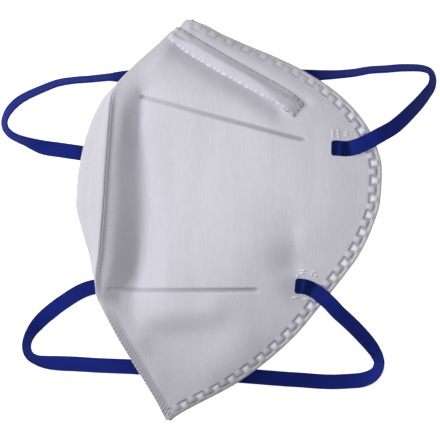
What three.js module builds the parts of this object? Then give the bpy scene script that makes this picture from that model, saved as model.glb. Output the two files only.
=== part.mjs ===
// Flat-fold respirator mask, lying on its left panel and slightly opened.
// Millimetres, +Z up. +X points from the front seam to the open face side, +Y from the chin to the nose.
// The origin is on the table, under the middle of the mask.

import * as THREE from "three";

// Driving dimensions
const WALL = 1.0; // pressed stack of nonwoven layers
const GAP = 0.3; // clearance between pieces that are welded to each other
const STRIP_HALF_WIDTH = 3.6;
const STRIP_WALL = 1.0;
const BAND_WIDTH = 6.0;
const BAND_THICKNESS = 0.8;
const TABLE_GAP = 0.05; // what lies on the table stays just above it
const SECTIONS = 42; // sections from the nose tip to the chin tip
const SECTION_STEPS = 24; // steps along one section
const BAND_STEPS = 80;

const FABRIC = { color: 0xe4e2ea, roughness: 0.92, metalness: 0 };
const ELASTIC = { color: 0x141f63, roughness: 0.8, metalness: 0 };

// The front seam, where both panels meet. lean is how steeply the seam's plane goes down, in degrees:
// it lies flat at the nose and the chin, and stands up along the front crease.
const SEAM = {
  columns: ["y", "x", "z", "lean"],
  rows: [
    [79.2, -16.5, 11.0, 0],
    [76.8, -19.0, 12.0, 0],
    [73.5, -22.7, 13.5, 0],
    [69.4, -26.8, 15.0, 0],
    [63.8, -32.9, 17.5, 2],
    [58.1, -38.7, 20.0, 10],
    [53.3, -42.6, 22.5, 30],
    [47.7, -45.1, 25.0, 55],
    [41.0, -45.8, 26.5, 70],
    [31.2, -46.6, 27.5, 76],
    [19.5, -47.4, 28.0, 78],
    [7.9, -48.1, 28.0, 78],
    [-3.8, -49.0, 27.5, 78],
    [-13.5, -49.8, 26.5, 74],
    [-22.5, -50.9, 25.5, 60],
    [-28.0, -50.7, 24.5, 42],
    [-35.1, -48.1, 22.5, 20],
    [-45.0, -43.2, 19.5, 6],
    [-55.0, -37.4, 16.5, 0],
    [-65.0, -31.4, 13.5, 0],
    [-73.1, -26.8, 11.0, 0],
    [-76.7, -25.1, 9.8, 0],
    [-79.2, -24.2, 9.0, 0],
  ],
};

// Heights of the right panel's outer face at RIGHT_STATIONS, as fractions of the width from seam to rim.
const RIGHT_STATIONS = { dent: 0.1, shoulder: 0.28, crown: 0.55, flank: 0.8 };
const RIGHT = {
  columns: ["y", "dent", "shoulder", "crown", "flank", "rimX", "rimZ"],
  rows: [
    [79.2, 12.2, 12.3, 12.3, 12.3, -13.3, 12.2],
    [76.8, 13.4, 14.0, 14.2, 14.0, -8.3, 13.3],
    [73.5, 15.0, 16.0, 16.3, 15.8, -2.5, 14.4],
    [69.4, 16.8, 18.5, 19.0, 18.0, 6.3, 16.0],
    [63.8, 19.5, 21.5, 22.0, 21.0, 19.2, 18.4],
    [58.1, 21.7, 24.0, 24.5, 23.2, 30.7, 20.3],
    [53.3, 23.0, 25.8, 26.5, 25.0, 38.1, 22.0],
    [47.7, 23.2, 27.2, 28.6, 26.8, 45.0, 23.5],
    [41.0, 21.8, 27.2, 29.8, 28.2, 51.1, 25.0],
    [31.2, 21.5, 27.0, 30.6, 29.3, 56.9, 26.5],
    [19.5, 21.5, 27.0, 31.0, 29.8, 59.8, 27.5],
    [7.9, 21.5, 27.0, 31.0, 29.8, 59.2, 27.5],
    [-3.8, 21.2, 26.6, 30.6, 29.0, 55.7, 27.0],
    [-13.5, 21.0, 26.0, 29.8, 28.0, 51.0, 26.0],
    [-22.5, 20.8, 25.2, 28.6, 27.0, 44.5, 25.0],
    [-28.0, 21.0, 24.8, 27.6, 26.0, 40.2, 24.0],
    [-35.1, 21.0, 24.0, 26.0, 24.6, 34.6, 22.6],
    [-45.0, 20.4, 22.2, 23.4, 22.6, 26.4, 20.6],
    [-55.0, 17.8, 19.4, 20.4, 19.9, 15.5, 18.2],
    [-65.0, 15.0, 16.3, 17.0, 16.6, 1.9, 15.2],
    [-73.1, 12.4, 13.2, 13.5, 13.2, -12.8, 12.4],
    [-76.7, 11.1, 11.6, 11.7, 11.5, -19.1, 11.1],
    [-79.2, 10.2, 10.2, 10.2, 10.2, -22.2, 10.2],
  ],
};

// The left panel: how far it bulges in front of the seam and how far it drops there, the height of its
// underside, how far its rim stays inside the right rim, and the height of that rim.
const LEFT = {
  columns: ["y", "bulge", "drop", "under", "rimInset", "rimZ"],
  rows: [
    [79.2, -0.4, 1.2, 9.8, 0.0, 9.8],
    [76.8, -1.2, 1.5, 9.8, 0.4, 10.0],
    [73.5, -1.8, 2.0, 9.2, 0.8, 10.0],
    [69.4, -2.0, 2.6, 8.0, 1.2, 9.8],
    [63.8, -2.0, 3.8, 5.8, 1.8, 9.5],
    [58.1, -1.2, 5.4, 4.2, 2.4, 9.5],
    [53.3, 1.3, 7.5, 3.4, 3.0, 9.5],
    [47.7, 4.2, 10.5, 2.8, 3.5, 9.5],
    [41.0, 7.1, 13.0, 2.2, 4.0, 9.5],
    [31.2, 9.8, 14.2, 1.6, 4.0, 9.5],
    [22.5, 11.1, 14.5, 1.4, 4.0, 9.5],
    [18.0, 11.6, 14.5, 0.0, 4.0, 9.5],
    [7.9, 11.7, 14.5, 0.0, 4.0, 9.5],
    [-3.8, 8.5, 14.0, 0.0, 4.0, 9.5],
    [-13.5, 4.8, 13.0, 0.0, 4.0, 9.5],
    [-17.5, 3.4, 12.3, 0.0, 4.0, 9.4],
    [-22.0, 1.8, 11.4, 1.4, 4.0, 9.2],
    [-28.0, 0.0, 9.8, 1.6, 3.8, 9.0],
    [-35.1, -1.4, 7.8, 1.9, 3.5, 9.0],
    [-45.0, -2.0, 5.6, 2.6, 3.0, 9.0],
    [-55.0, -2.0, 4.2, 3.8, 2.5, 8.8],
    [-65.0, -2.0, 3.2, 5.4, 1.8, 8.4],
    [-73.1, -1.5, 2.2, 6.8, 1.0, 8.0],
    [-76.7, -0.9, 1.6, 7.5, 0.5, 7.8],
    [-79.2, -0.3, 1.2, 7.8, 0.0, 7.8],
  ],
};
// Stations of the left section behind its bulge: fraction of the way to the rim, and how far the height
// there has gone from the underside towards the bulge (turn) or the rim (lift).
const LEFT_TURN = { at: 0.06, share: 0.12 };
const LEFT_FLAT_FROM = 0.2;
const LEFT_FLAT_TO = 0.55;
const LEFT_LIFT = { at: 0.85, share: 0.25 };

// Middle line of the channel over the nose wire, from the nose seam towards the cheek.
const STRIP_LINE = [
  [-21.2, 73.0],
  [-3.6, 62.1],
  [7.0, 56.0],
  [20.9, 48.0],
  [27.7, 42.7],
];
const LEFT_STRIP_FROM = 0.1; // the left half starts behind the seam's turn

// Routes of the flat bands, from the weld on the right panel to the weld on the left panel. lift is the
// height above a band that lies on the table, and tilt is how far the band leans over on its edge, in degrees.
const UPPER_BAND = {
  columns: ["x", "y", "lift", "tilt"],
  rows: [
    [40.2, 28.1, 29.7, 0],
    [43.0, 28.0, 29.4, 0],
    [46.2, 27.8, 29.0, 0],
    [49.4, 28.4, 28.6, 0],
    [52.6, 29.6, 28.0, 3],
    [55.8, 31.2, 27.2, 6],
    [58.8, 32.9, 26.0, 10],
    [61.8, 34.5, 23.8, 14],
    [65.1, 36.5, 20.9, 18],
    [68.4, 39.2, 17.4, 24],
    [71.9, 42.5, 13.5, 30],
    [75.3, 45.9, 9.4, 36],
    [78.7, 49.8, 5.2, 44],
    [81.2, 53.4, 2.2, 54],
    [81.8, 56.7, 0.6, 62],
    [80.7, 59.3, 0.1, 64],
    [77.9, 60.5, 0.0, 62],
    [69.6, 60.8, 0.0, 60],
    [63.2, 60.3, 0.0, 60],
    [56.8, 59.9, 0.0, 60],
    [50.4, 58.8, 0.0, 58],
    [44.1, 58.2, 0.0, 56],
    [37.7, 57.9, 0.0, 48],
    [31.3, 57.5, 0.0, 25],
    [24.9, 57.3, 0.0, 0],
    [5.0, 57.1, 0.0, 0],
    [-15.0, 57.0, 0.0, 0],
    [-33.0, 57.2, 0.0, 0],
    [-41.0, 57.3, 0.0, 35],
    [-47.0, 57.1, 0.0, 60],
    [-55.0, 56.3, 0.0, 62],
    [-61.4, 55.8, 0.0, 62],
    [-67.8, 54.7, 0.0, 60],
    [-74.1, 52.3, 0.0, 58],
    [-80.5, 49.4, 0.0, 56],
    [-83.9, 47.2, 0.0, 54],
    [-86.9, 44.1, 0.0, 56],
    [-88.5, 41.2, 0.0, 62],
    [-89.0, 38.8, 0.0, 65],
    [-88.4, 36.4, 0.0, 65],
    [-86.6, 34.3, 0.0, 64],
    [-83.6, 32.6, 0.0, 62],
    [-80.4, 31.4, 0.0, 56],
    [-77.2, 30.2, 0.0, 40],
    [-74.1, 29.2, 0.0, 20],
    [-70.9, 28.6, 0.0, 8],
    [-67.7, 28.2, 0.0, 0],
    [-61.4, 27.3, 0.0, 0],
    [-56.6, 26.7, 0.0, 0],
    [-40.0, 26.9, 0.0, 0],
    [-20.0, 27.2, 0.0, 0],
    [0.0, 27.6, 0.0, 0],
    [15.0, 27.9, 0.1, 0],
    [24.9, 28.1, 0.7, 0],
    [32.8, 28.2, 1.4, 0],
    [36.8, 28.2, 2.0, 0],
    [42.5, 28.2, 3.5, 0],
  ],
};
const LOWER_BAND = {
  columns: ["x", "y", "lift", "tilt"],
  rows: [
    [26.2, -25.6, 26.1, 12],
    [30.1, -25.9, 25.6, 12],
    [33.6, -27.4, 24.9, 12],
    [36.7, -29.6, 24.0, 11],
    [39.9, -32.5, 22.9, 10],
    [43.2, -36.0, 21.0, 8],
    [46.5, -39.0, 18.0, 10],
    [49.8, -42.1, 14.4, 12],
    [53.2, -45.6, 10.2, 16],
    [55.7, -48.4, 7.0, 22],
    [57.9, -51.3, 4.2, 32],
    [59.6, -54.3, 1.8, 44],
    [60.4, -57.3, 0.4, 52],
    [59.6, -60.1, 0.0, 48],
    [57.2, -62.4, 0.0, 30],
    [53.6, -63.8, 0.0, 10],
    [48.8, -64.3, 0.0, 0],
    [42.5, -64.6, 0.0, 0],
    [36.1, -64.4, 0.0, 0],
    [29.7, -63.9, 0.0, 0],
    [23.3, -63.5, 0.0, 0],
    [16.9, -63.0, 0.0, 0],
    [10.5, -62.5, 0.0, 0],
    [0.0, -61.6, 0.0, 0],
    [-15.0, -60.2, 0.0, 0],
    [-28.0, -59.2, 0.0, 0],
    [-35.8, -58.7, 0.0, 0],
    [-42.2, -58.4, 0.0, 0],
    [-51.8, -58.0, 0.0, 0],
    [-61.4, -57.4, 0.0, 2],
    [-67.8, -57.1, 0.0, 14],
    [-72.6, -56.6, 0.0, 36],
    [-76.2, -55.7, 0.0, 56],
    [-78.6, -54.3, 0.0, 62],
    [-79.9, -52.1, 0.0, 62],
    [-80.1, -49.5, 0.0, 60],
    [-79.4, -46.9, 0.0, 54],
    [-78.0, -44.3, 0.0, 44],
    [-76.2, -41.9, 0.0, 30],
    [-73.6, -39.1, 0.0, 15],
    [-70.8, -36.7, 0.0, 5],
    [-67.8, -34.3, 0.0, 0],
    [-64.6, -32.1, 0.0, 0],
    [-61.4, -30.0, 0.0, 0],
    [-57.4, -27.9, 0.0, 0],
    [-53.0, -26.6, 0.0, 0],
    [-46.0, -26.2, 0.0, 0],
    [-36.0, -26.4, 0.0, 0],
    [-16.0, -26.6, 0.0, 0],
    [4.0, -26.6, 0.0, 0],
    [13.0, -26.6, 0.3, 0],
    [20.9, -26.6, 1.2, 0],
    [24.9, -26.6, 1.9, 0],
    [29.8, -26.6, 3.3, 0],
  ],
};

const degrees = THREE.MathUtils.degToRad;

// Turns a table into one smooth function of y for each column, with no overshoot between its rows.
function smoothColumns({ columns, rows }) {
  const sorted = [...rows].sort((a, b) => a[0] - b[0]);
  const ys = sorted.map((row) => row[0]);
  const functions = {};
  for (let c = 1; c < columns.length; c++) {
    const values = sorted.map((row) => row[c]);
    functions[columns[c]] = monotoneCurve(ys, values);
  }
  return functions;
}

// Monotone cubic interpolation (Fritsch and Carlson).
function monotoneCurve(xs, values) {
  const last = xs.length - 1;
  const slopes = [];
  for (let i = 0; i < last; i++) {
    slopes.push((values[i + 1] - values[i]) / (xs[i + 1] - xs[i]));
  }
  const tangents = [slopes[0]];
  for (let i = 1; i < last; i++) {
    const before = slopes[i - 1];
    const after = slopes[i];
    tangents.push(before * after <= 0 ? 0 : (2 * before * after) / (before + after));
  }
  tangents.push(slopes[last - 1]);
  return (x) => {
    const inside = THREE.MathUtils.clamp(x, xs[0], xs[last]);
    let i = 0;
    while (i < last - 1 && inside > xs[i + 1]) i++;
    const width = xs[i + 1] - xs[i];
    const t = (inside - xs[i]) / width;
    const t2 = t * t;
    const t3 = t2 * t;
    return (
      (2 * t3 - 3 * t2 + 1) * values[i] +
      (t3 - 2 * t2 + t) * width * tangents[i] +
      (3 * t2 - 2 * t3) * values[i + 1] +
      (t3 - t2) * width * tangents[i + 1]
    );
  };
}

const seam = smoothColumns(SEAM);
const right = smoothColumns(RIGHT);
const left = smoothColumns(LEFT);

// The seam at y: its middle, the way its plane goes in, and the side of it that the right panel is on.
function seamAt(y) {
  const lean = degrees(seam.lean(y));
  return {
    middle: new THREE.Vector2(seam.x(y), seam.z(y)),
    side: new THREE.Vector2(Math.sin(lean), Math.cos(lean)),
  };
}

function sectionCurve(points, y) {
  const path = points.map(([x, z]) => new THREE.Vector3(x, y, z));
  return new THREE.CatmullRomCurve3(path, false, "centripetal");
}

// Outer face of the right panel at y, from the seam to the rim.
function rightSection(y) {
  const { middle, side } = seamAt(y);
  const start = middle.clone().addScaledVector(side, GAP / 2 + WALL);
  const rim = right.rimX(y);
  const points = [[start.x, start.y]];
  for (const [name, share] of Object.entries(RIGHT_STATIONS)) {
    points.push([THREE.MathUtils.lerp(start.x, rim, share), right[name](y)]);
  }
  points.push([rim, right.rimZ(y)]);
  return sectionCurve(points, y);
}

// Outer face of the left panel at y: from the seam round the bulge, along its underside and up to the rim.
function leftSection(y) {
  const { middle, side } = seamAt(y);
  const { lerp } = THREE.MathUtils;
  const start = middle.clone().addScaledVector(side, -(GAP / 2 + WALL));
  const rim = [right.rimX(y) - left.rimInset(y), left.rimZ(y)];
  const under = left.under(y);
  const bulge = [middle.x - left.bulge(y), middle.y - left.drop(y)];
  const across = (share) => lerp(bulge[0], rim[0], share);
  return sectionCurve(
    [
      [start.x, start.y],
      bulge,
      [across(LEFT_TURN.at), lerp(under, bulge[1], LEFT_TURN.share)],
      [across(LEFT_FLAT_FROM), under],
      [across(LEFT_FLAT_TO), under],
      [across(LEFT_LIFT.at), lerp(under, rim[1], LEFT_LIFT.share)],
      rim,
    ],
    y,
  );
}

// Points along a section. The left panel is flat where its underside would dip under its own height.
function facePoints(section, y, steps) {
  const lowest = section === leftSection ? left.under(y) : 0;
  return section(y)
    .getSpacedPoints(steps)
    .map((point) => point.setZ(Math.max(point.z, lowest)));
}

// The section positions: closer together towards both tips.
function sectionYs() {
  const top = SEAM.rows[0][0];
  const ys = [];
  for (let i = 0; i <= SECTIONS; i++) {
    ys.push(top * Math.cos((Math.PI * i) / SECTIONS));
  }
  return ys;
}

// Outer and inner points of one panel, a row for each section. outside is +1 where the outer face is on
// the left of the section's way, seen along +Y, and -1 where it is on the right.
function panelGrid(section, outside) {
  const outer = [];
  const inner = [];
  for (const y of sectionYs()) {
    const row = facePoints(section, y, SECTION_STEPS);
    const { middle, side } = seamAt(y);
    const innerRow = row.map((point, i) => {
      const ahead = row[Math.min(i + 1, SECTION_STEPS)];
      const behind = row[Math.max(i - 1, 0)];
      const way = new THREE.Vector2(ahead.x - behind.x, ahead.z - behind.z).normalize();
      const out = new THREE.Vector2(-way.y, way.x).multiplyScalar(outside);
      return new THREE.Vector3(point.x - out.x * WALL, y, point.z - out.y * WALL);
    });
    const edge = middle.clone().addScaledVector(side, (outside * GAP) / 2);
    innerRow[0].set(edge.x, y, edge.y);
    outer.push(row);
    inner.push(innerRow);
  }
  return { outer, inner };
}

// A wall between two grids of points, closed round its edges. Both grids have the same rows and columns.
// turned swaps the faces' order, for a wall whose outer face is on the other side.
function wallGeometry(outer, inner, turned) {
  const rows = outer.length;
  const columns = outer[0].length;
  const positions = [];
  for (const point of [...outer.flat(), ...inner.flat()]) positions.push(point.x, point.y, point.z);
  const top = (r, c) => r * columns + c;
  const bottom = (r, c) => rows * columns + r * columns + c;
  const index = [];
  const quad = (a, b, c, d) => {
    if (turned) index.push(a, c, b, a, d, c);
    else index.push(a, b, c, a, c, d);
  };
  for (let r = 0; r < rows - 1; r++) {
    for (let c = 0; c < columns - 1; c++) {
      quad(top(r, c), top(r + 1, c), top(r + 1, c + 1), top(r, c + 1));
      quad(bottom(r, c), bottom(r, c + 1), bottom(r + 1, c + 1), bottom(r + 1, c));
    }
    quad(top(r, 0), bottom(r, 0), bottom(r + 1, 0), top(r + 1, 0));
    const end = columns - 1;
    quad(top(r, end), top(r + 1, end), bottom(r + 1, end), bottom(r, end));
  }
  for (let c = 0; c < columns - 1; c++) {
    quad(top(0, c), top(0, c + 1), bottom(0, c + 1), bottom(0, c));
    const end = rows - 1;
    quad(top(end, c), bottom(end, c), bottom(end, c + 1), top(end, c + 1));
  }
  const geometry = new THREE.BufferGeometry();
  geometry.setAttribute("position", new THREE.Float32BufferAttribute(positions, 3));
  geometry.setIndex(index);
  geometry.computeVertexNormals();
  return geometry;
}

function rightPanel() {
  const { outer, inner } = panelGrid(rightSection, 1);
  return wallGeometry(outer, inner, false);
}

function leftPanel() {
  const { outer, inner } = panelGrid(leftSection, -1);
  return wallGeometry(outer, inner, true);
}

// Height of a panel's outer face over x, y. The last stretch that passes x counts, so on the left panel it
// is the underside and not the bulge.
function heightAt(section, x, y) {
  const line = facePoints(section, y, 200);
  let height = line[line.length - 1].z;
  for (let i = 1; i < line.length; i++) {
    const [a, b] = [line[i - 1], line[i]];
    if ((x - a.x) * (x - b.x) <= 0 && a.x !== b.x) {
      height = THREE.MathUtils.lerp(a.z, b.z, (x - a.x) / (b.x - a.x));
    }
  }
  return height;
}

// Half of the nose channel, lying on one panel from the share "from" of its middle line.
// out is +1 above the right panel, -1 under the left one.
function noseStrip(section, out, from) {
  const points = STRIP_LINE.map(([x, y]) => new THREE.Vector2(x, y));
  const line = new THREE.SplineCurve(points);
  const along = 18;
  const across = 5;
  const outer = [];
  const inner = [];
  for (let i = 0; i <= along; i++) {
    const share = THREE.MathUtils.lerp(from, 1, i / along);
    const middle = line.getPointAt(share);
    const way = line.getTangentAt(share);
    const outerRow = [];
    const innerRow = [];
    for (let j = 0; j <= across; j++) {
      const offset = STRIP_HALF_WIDTH * (1 - (2 * j) / across);
      const x = middle.x - way.y * offset;
      const y = middle.y + way.x * offset;
      const base = heightAt(section, x, y) + out * GAP;
      innerRow.push(new THREE.Vector3(x, y, base));
      outerRow.push(new THREE.Vector3(x, y, base + out * STRIP_WALL));
    }
    outer.push(outerRow);
    inner.push(innerRow);
  }
  return wallGeometry(outer, inner, out > 0);
}

// Height of a band's middle when it lies on the table, leaning over by tilt.
function lyingHeight(tilt) {
  const lean = degrees(tilt);
  return (BAND_WIDTH / 2) * Math.sin(lean) + (BAND_THICKNESS / 2) * Math.cos(lean) + TABLE_GAP;
}

// A flat band swept along its route.
function band({ rows }) {
  const path = rows.map(([x, y, lift]) => new THREE.Vector3(x, y, lift));
  const curve = new THREE.CatmullRomCurve3(path, false, "centripetal");
  const up = new THREE.Vector3(0, 0, 1);
  const upper = [];
  const lower = [];
  for (let i = 0; i <= BAND_STEPS; i++) {
    const t = curve.getUtoTmapping(i / BAND_STEPS);
    const place = t * (rows.length - 1);
    const before = Math.min(Math.floor(place), rows.length - 2);
    const tilt = THREE.MathUtils.lerp(rows[before][3], rows[before + 1][3], place - before);
    const middle = curve.getPoint(t);
    middle.z += lyingHeight(tilt);
    const way = curve.getTangent(t);
    const level = new THREE.Vector3().crossVectors(up, way).normalize();
    const width = level.clone().applyAxisAngle(way, degrees(tilt)).multiplyScalar(BAND_WIDTH / 2);
    const face = new THREE.Vector3().crossVectors(way, width).setLength(BAND_THICKNESS / 2);
    const edges = [middle.clone().add(width), middle.clone().sub(width)];
    upper.push(edges.map((edge) => edge.clone().add(face)));
    lower.push(edges.map((edge) => edge.clone().sub(face)));
  }
  return wallGeometry(upper, lower, true);
}

const group = new THREE.Group();

function add(name, geometry, finish) {
  const mesh = new THREE.Mesh(geometry, new THREE.MeshStandardMaterial(finish));
  mesh.name = name;
  group.add(mesh);
}

add("right_panel", rightPanel(), FABRIC);
add("left_panel", leftPanel(), FABRIC);
add("right_nose_strip", noseStrip(rightSection, 1, 0), FABRIC);
add("left_nose_strip", noseStrip(leftSection, -1, LEFT_STRIP_FROM), FABRIC);

add("upper_headband", band(UPPER_BAND), ELASTIC);
add("lower_headband", band(LOWER_BAND), ELASTIC);

export default group;
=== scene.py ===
"""Looks of a flat-fold respirator mask that lies on its left panel, slightly opened.

The tables are in millimetres: +X points from the front seam to the open face side, +Y from the chin to the
nose and +Z up, with the origin on the table. Meshes, attributes and node inputs are in metres.
"""

import math
from functools import partialmethod

import bpy
import numpy as np
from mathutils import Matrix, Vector
from mathutils.kdtree import KDTree


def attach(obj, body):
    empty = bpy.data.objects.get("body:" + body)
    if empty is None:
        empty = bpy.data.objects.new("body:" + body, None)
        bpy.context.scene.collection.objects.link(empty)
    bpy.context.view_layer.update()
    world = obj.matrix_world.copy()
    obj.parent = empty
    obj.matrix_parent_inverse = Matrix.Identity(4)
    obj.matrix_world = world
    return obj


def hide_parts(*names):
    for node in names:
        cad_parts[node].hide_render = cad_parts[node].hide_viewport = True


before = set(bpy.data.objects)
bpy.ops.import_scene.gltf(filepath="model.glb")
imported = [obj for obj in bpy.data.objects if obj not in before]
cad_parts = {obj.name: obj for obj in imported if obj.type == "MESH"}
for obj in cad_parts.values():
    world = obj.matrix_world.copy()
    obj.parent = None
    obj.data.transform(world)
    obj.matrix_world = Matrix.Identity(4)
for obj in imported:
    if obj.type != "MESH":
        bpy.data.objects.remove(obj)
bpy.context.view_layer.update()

MM = 0.001
TINY = 1e-9  # keeps a divisor above 0

# ---- Driving dimensions, in millimetres ----

WALL = 1.0  # pressed stack of nonwoven layers
RIM_WALL = 0.55  # the same stack where the rim's weld has thinned it
GAP = 0.3  # between the two panels at the front seam
TOP = 79.2  # height of the nose tip and depth of the chin tip, along Y

STRIP_HALF_WIDTH = 3.6
STRIP_CLEARANCE = 0.05

BAND_WIDTH = 6.0
BAND_THICKNESS = 0.8
TABLE_GAP = 0.05

# The front seam, where both panels meet. lean is how steeply the seam's plane goes down, in degrees.
SEAM = {
    "columns": ["y", "x", "z", "lean"],
    "rows": [
        [79.2, -15.5, 11, 0], [78.2, -16.9, 11.4, 0], [76.8, -18, 12, 0], [75.9, -18.7, 12.4, 0],
        [75.2, -20.2, 12.8, 0], [73.5, -22.7, 13.5, 0], [69.4, -26.8, 15, 0], [63.8, -32.9, 17.5, 2],
        [58.1, -38.7, 20, 10], [53.3, -42.6, 22.5, 30], [47.7, -45.1, 25, 55], [41, -45.8, 26.5, 70],
        [31.2, -46.6, 27.5, 76], [19.5, -47.4, 28, 78], [7.9, -48.1, 28, 78], [-3.8, -49, 27.5, 78],
        [-13.5, -49.8, 26.5, 74], [-22.5, -50.9, 25.5, 60], [-28, -50.7, 24.5, 42],
        [-35.1, -48.1, 22.5, 20], [-45, -43.2, 19.5, 6], [-55, -37.4, 16.5, 0], [-65, -31.4, 13.5, 0],
        [-73.1, -26.8, 11, 0], [-76.7, -25.1, 9.8, 0], [-79.2, -23.8, 9, 0],
    ],
}

# Heights of the right panel's outer face at RIGHT_STATIONS, shares of the width from the seam to the rim.
RIGHT_STATIONS = {"shoulder": 0.28, "crown": 0.55, "flank": 0.8}
RIGHT_LIP = {"at": 0.04, "drop": 0.25}  # beside the seam: share of the width, and of the drop to the dent
RIGHT_RISE = {"beyond": 0.05, "climb": 0.34}  # behind the dent: the same towards the shoulder
# Where the dent lies behind the seam, as a share of the width.
DENT_PLACE = {
    "columns": ["y", "share"],
    "rows": [
        [52, 0.14], [48.5, 0.128], [45, 0.112], [37, 0.085], [27, 0.093], [12, 0.12], [-4, 0.138],
        [-20, 0.148], [-40, 0.125],
    ],
}
RIGHT = {
    "columns": ["y", "dent", "shoulder", "crown", "flank", "rimX", "rimZ"],
    "rows": [
        [79.2, 12.2, 12.3, 12.3, 12.3, -14.3, 12.2], [76.8, 13.4, 14, 14.2, 14, -8.3, 13.3],
        [73.5, 15, 16, 16.3, 15.8, -2.5, 14.4], [69.4, 17.2, 18.1, 19, 18, 6.3, 16],
        [63.8, 20.3, 20.9, 21.7, 21, 19.2, 18.4], [58.1, 22.5, 23.2, 24.3, 23.2, 30.7, 20.3],
        [53.3, 23.5, 25.3, 26.5, 25, 38.1, 22], [47.7, 23.2, 27.2, 28.6, 26.8, 45, 23.5],
        [41, 22.2, 27.2, 29.8, 28.2, 51.1, 25], [31.2, 21.9, 27, 30.6, 29.3, 56.9, 26.5],
        [19.5, 21.6, 27, 31, 29.8, 59.8, 27.5], [7.9, 21.5, 27, 31, 29.8, 59.2, 27.5],
        [-3.8, 21.2, 26.6, 30.6, 28.7, 55.7, 27], [-13.5, 21, 26, 29.8, 27.5, 51, 26],
        [-22.5, 20.8, 25.2, 28.6, 26.8, 44.5, 25], [-28, 21, 24.8, 27.6, 26, 40.2, 24],
        [-35.1, 21.3, 23.7, 26, 24.6, 34.6, 22.6], [-45, 21.3, 21.4, 22.9, 22.6, 26.4, 20.8],
        [-55, 18.6, 18.9, 19.9, 20, 15.5, 18.6], [-65, 15.6, 15.8, 16.6, 16.8, 1.9, 15.8],
        [-73.1, 12.5, 13, 13.4, 13.4, -12.8, 12.8], [-76.7, 11.1, 11.5, 11.7, 11.6, -19.1, 11.3],
        [-79.2, 10.2, 10.2, 10.2, 10.2, -22.9, 10.2],
    ],
}

# The left panel: its bulge in front of the seam and the drop to it, the height of its underside, how far
# its rim stays inside the right rim, and the height of that rim.
LEFT = {
    "columns": ["y", "bulge", "drop", "under", "rimInset", "rimZ"],
    "rows": [
        [79.2, -0.4, 1.2, 9.8, 0, 9.8], [76.8, -1.2, 1.5, 9.8, 0.4, 10], [73.5, -1.8, 2, 9.2, 0.8, 10],
        [69.4, -2, 2.6, 8, 1.2, 9.8], [63.8, -2, 3.8, 5.8, 1.8, 9.5], [58.1, -1.2, 5.4, 4.2, 2.4, 9.5],
        [53.3, 1.3, 7.5, 3.4, 3, 9.5], [47.7, 4.2, 10.5, 2.8, 3.5, 9.5], [41, 7.1, 13, 2.2, 4, 9.5],
        [31.2, 9.8, 14.2, 1.6, 4, 9.5], [22.5, 11.1, 14.5, 1.4, 4, 9.5], [18, 11.6, 14.5, 0, 4, 9.5],
        [7.9, 11.7, 14.5, 0, 4, 9.5], [-3.8, 8.5, 14, 0, 4, 9.5], [-13.5, 4.8, 13, 0, 4, 9.5],
        [-17.5, 3.4, 12.3, 0, 4, 9.4], [-22, 1.8, 11.4, 1.4, 4, 9.2], [-28, 0, 9.8, 1.6, 3.8, 9],
        [-35.1, -1.4, 7.8, 1.9, 3.5, 9], [-45, -2, 5.6, 2.6, 3, 9], [-55, -2, 4.2, 3.8, 2.5, 8.8],
        [-65, -2, 3.2, 5.4, 1.8, 8.4], [-73.1, -1.5, 2.2, 6.8, 1, 8], [-76.7, -0.9, 1.6, 7.5, 0.5, 7.8],
        [-79.2, -0.3, 1.2, 7.8, 0, 7.8],
    ],
}
# Shares of the way from the bulge to the rim: the turn to the underside, its flat, and the lift to the rim.
LEFT_TURN = {"at": 0.06, "share": 0.12}
LEFT_FLAT = (0.2, 0.55)
LEFT_LIFT = {"at": 0.85, "share": 0.25}

# Middle line of the channel over the nose wire, from the nose seam towards the cheek.
STRIP_LINE = [[-22.9, 74.05], [-3.6, 62.1], [7.0, 56.0], [20.9, 48.0], [27.7, 42.7]]
LEFT_STRIP_FROM = 0.13  # the left half starts behind the seam's turn

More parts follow.
